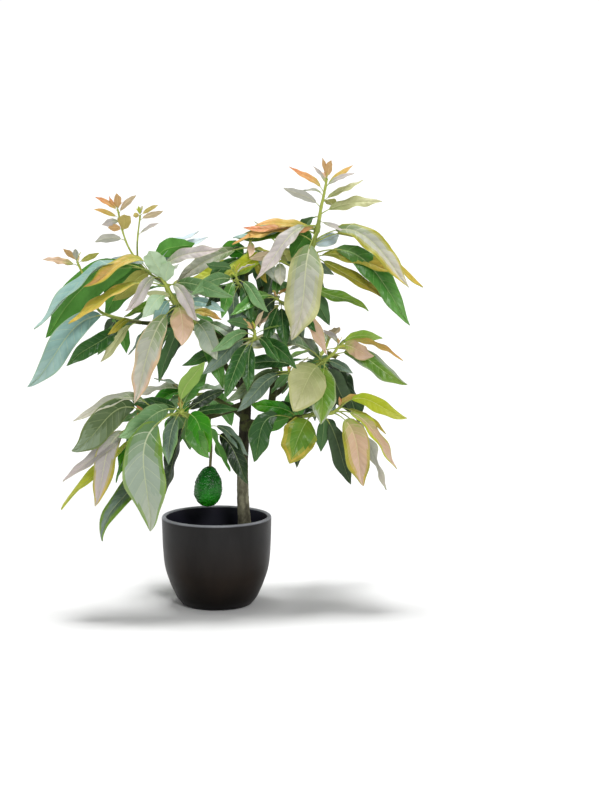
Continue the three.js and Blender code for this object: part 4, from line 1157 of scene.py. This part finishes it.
def make_soil():
    """A bed with an uneven top, and crumbs of bark and peat strewn over it."""
    edge = pot_radius_at(SOIL_LEVEL) - POT_WALL - SOIL_GAP
    top = [(radius, SOIL_LEVEL) for radius in np.linspace(0, edge - 1, SOIL_RINGS)]
    wall = inside_profile(SOIL_LEVEL - SOIL_EDGE_DROP, SOIL_GAP)
    points, faces = lathe([*top, *wall][::-1], SOIL_SIDES)
    for point in points:
        if point[2] > SOIL_LEVEL - 0.1:
            place = Vector(point)
            point[2] += sum(height * noise.noise(place * waves) for waves, height in SOIL_WAVES) - SOIL_SINK
    heap = Heap()
    heap.add(points, faces, "peat")
    bed = heap.build("soil_bed", soil_material, sharp=180)

    crumbs = Heap()
    rng = random.Random("crumbs")
    profile = [(math.sin(angle), -math.cos(angle)) for angle in np.linspace(0, math.pi, CRUMB_STEPS + 1)]
    shape, shape_faces = lathe(profile, CRUMB_SIDES)
    for _ in range(CRUMBS):
        reach = (edge - CRUMB_SIZE[1]) * math.sqrt(rng.random())
        turn = rng.uniform(0, 2 * math.pi)
        size = rng.uniform(*CRUMB_SIZE)
        flat = size * np.array([1, rng.uniform(*CRUMB_BREADTH), rng.uniform(*CRUMB_THICKNESS)])
        spin = Matrix.Rotation(rng.uniform(0, 2 * math.pi), 3, "Z")
        spin = spin @ Matrix.Rotation(rng.uniform(*CRUMB_TILT), 3, "X")
        crumb = shape * flat @ np.array(spin).T
        lumps = [[noise.noise(Vector(point) * CRUMB_GRAIN)] for point in crumb + 10 * turn]
        crumb *= 1 + CRUMB_LUMPS * np.array(lumps)
        place = (reach * math.cos(turn), reach * math.sin(turn), SOIL_LEVEL + 0.1)
        crumbs.add(crumb + place, shape_faces, rng.choice(("peat_crumb", "peat_crumb", "bark_crumb")))
    return bed, crumbs.build("soil_crumbs", soil_material, sharp=40)


# ---- light and camera ----
def make_stage():
    half = FLOOR_SIDE / 2
    corners = [(-half, -half, 0), (half, -half, 0), (half, half, 0), (-half, half, 0)]
    mesh = bpy.data.meshes.new("floor")
    mesh.from_pydata(corners, [], [(0, 1, 2, 3)])
    material, nodes = new_material("floor", (220, 220, 220), 0.95, 0.0)
    nodes.bump(nodes.noise(300, 2), 0.05)
    mesh.materials.append(material)
    add_object("floor", mesh)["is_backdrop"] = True


def make_light():
    """A studio, white at the horizon and dimmer above, a wide lamp overhead and a faint one in front."""
    scene = bpy.context.scene
    scene.view_settings.view_transform = "Standard"
    scene.world = bpy.data.worlds.new("studio")
    scene.world.use_nodes = True
    nodes = Nodes(scene.world)
    upright = nodes.add("SeparateXYZ", Vector=nodes.add("TexCoord").outputs["Generated"]).outputs["Z"]
    ramp = nodes.add("ValToRGB", Fac=upright)
    ramp.color_ramp.elements.new(0.3)
    for element, (place, grey) in zip(ramp.color_ramp.elements, STUDIO_GREYS):
        element.position = place
        element.color = (grey, grey, grey, 1)
    nodes.fill(nodes.tree.nodes["Background"], Color=ramp.outputs["Color"], Strength=STUDIO_STRENGTH)
    for name, (direction, strength, width) in SUNS.items():
        data = bpy.data.lights.new(name, "SUN")
        data.energy = strength
        data.angle = math.radians(width)
        add_object(name, data).rotation_euler = Vector(direction).to_track_quat("Z", "Y").to_euler()


def make_camera():
    data = bpy.data.cameras.new("camera")
    data.lens = LENS
    data.sensor_fit = "VERTICAL"
    data.sensor_height = SENSOR
    data.clip_end = VIEW_REACH
    camera = add_object("camera", data)
    camera.location = EYE * MM
    camera.rotation_euler = (math.radians(90 - CAMERA_PITCH), 0, 0)
    bpy.context.scene.camera = camera


# ---- the whole plant ----
def place_piece(piece, slot, *nodes):
    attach(piece, "root")
    if nodes:
        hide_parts(*nodes)


make_camera()
make_light()
make_stage()

stems = Heap()
for piece_name, members in LEAF_PIECES.items():
    leaves = Heap()
    for member in members:
        grow_mass(member, leaves, stems)
    place_piece(leaves.build(piece_name, leaf_material), "foliage", *members)
place_piece(stems.build("green_stems", stem_material, sharp=180), "foliage")
place_piece(make_wood(), "bark", "trunk", *BOUGHS)
place_piece(make_fruit(), "fruit")
place_piece(make_pot(), "pot", "pot")
bed, crumbs = make_soil()
place_piece(bed, "soil", "soil")
place_piece(crumbs, "soil")

visual_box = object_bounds()
boxes = {"cad": cad_box, "visual": visual_box}
{name: [[float(v) for v in corner] for corner in box] for name, box in boxes.items()}
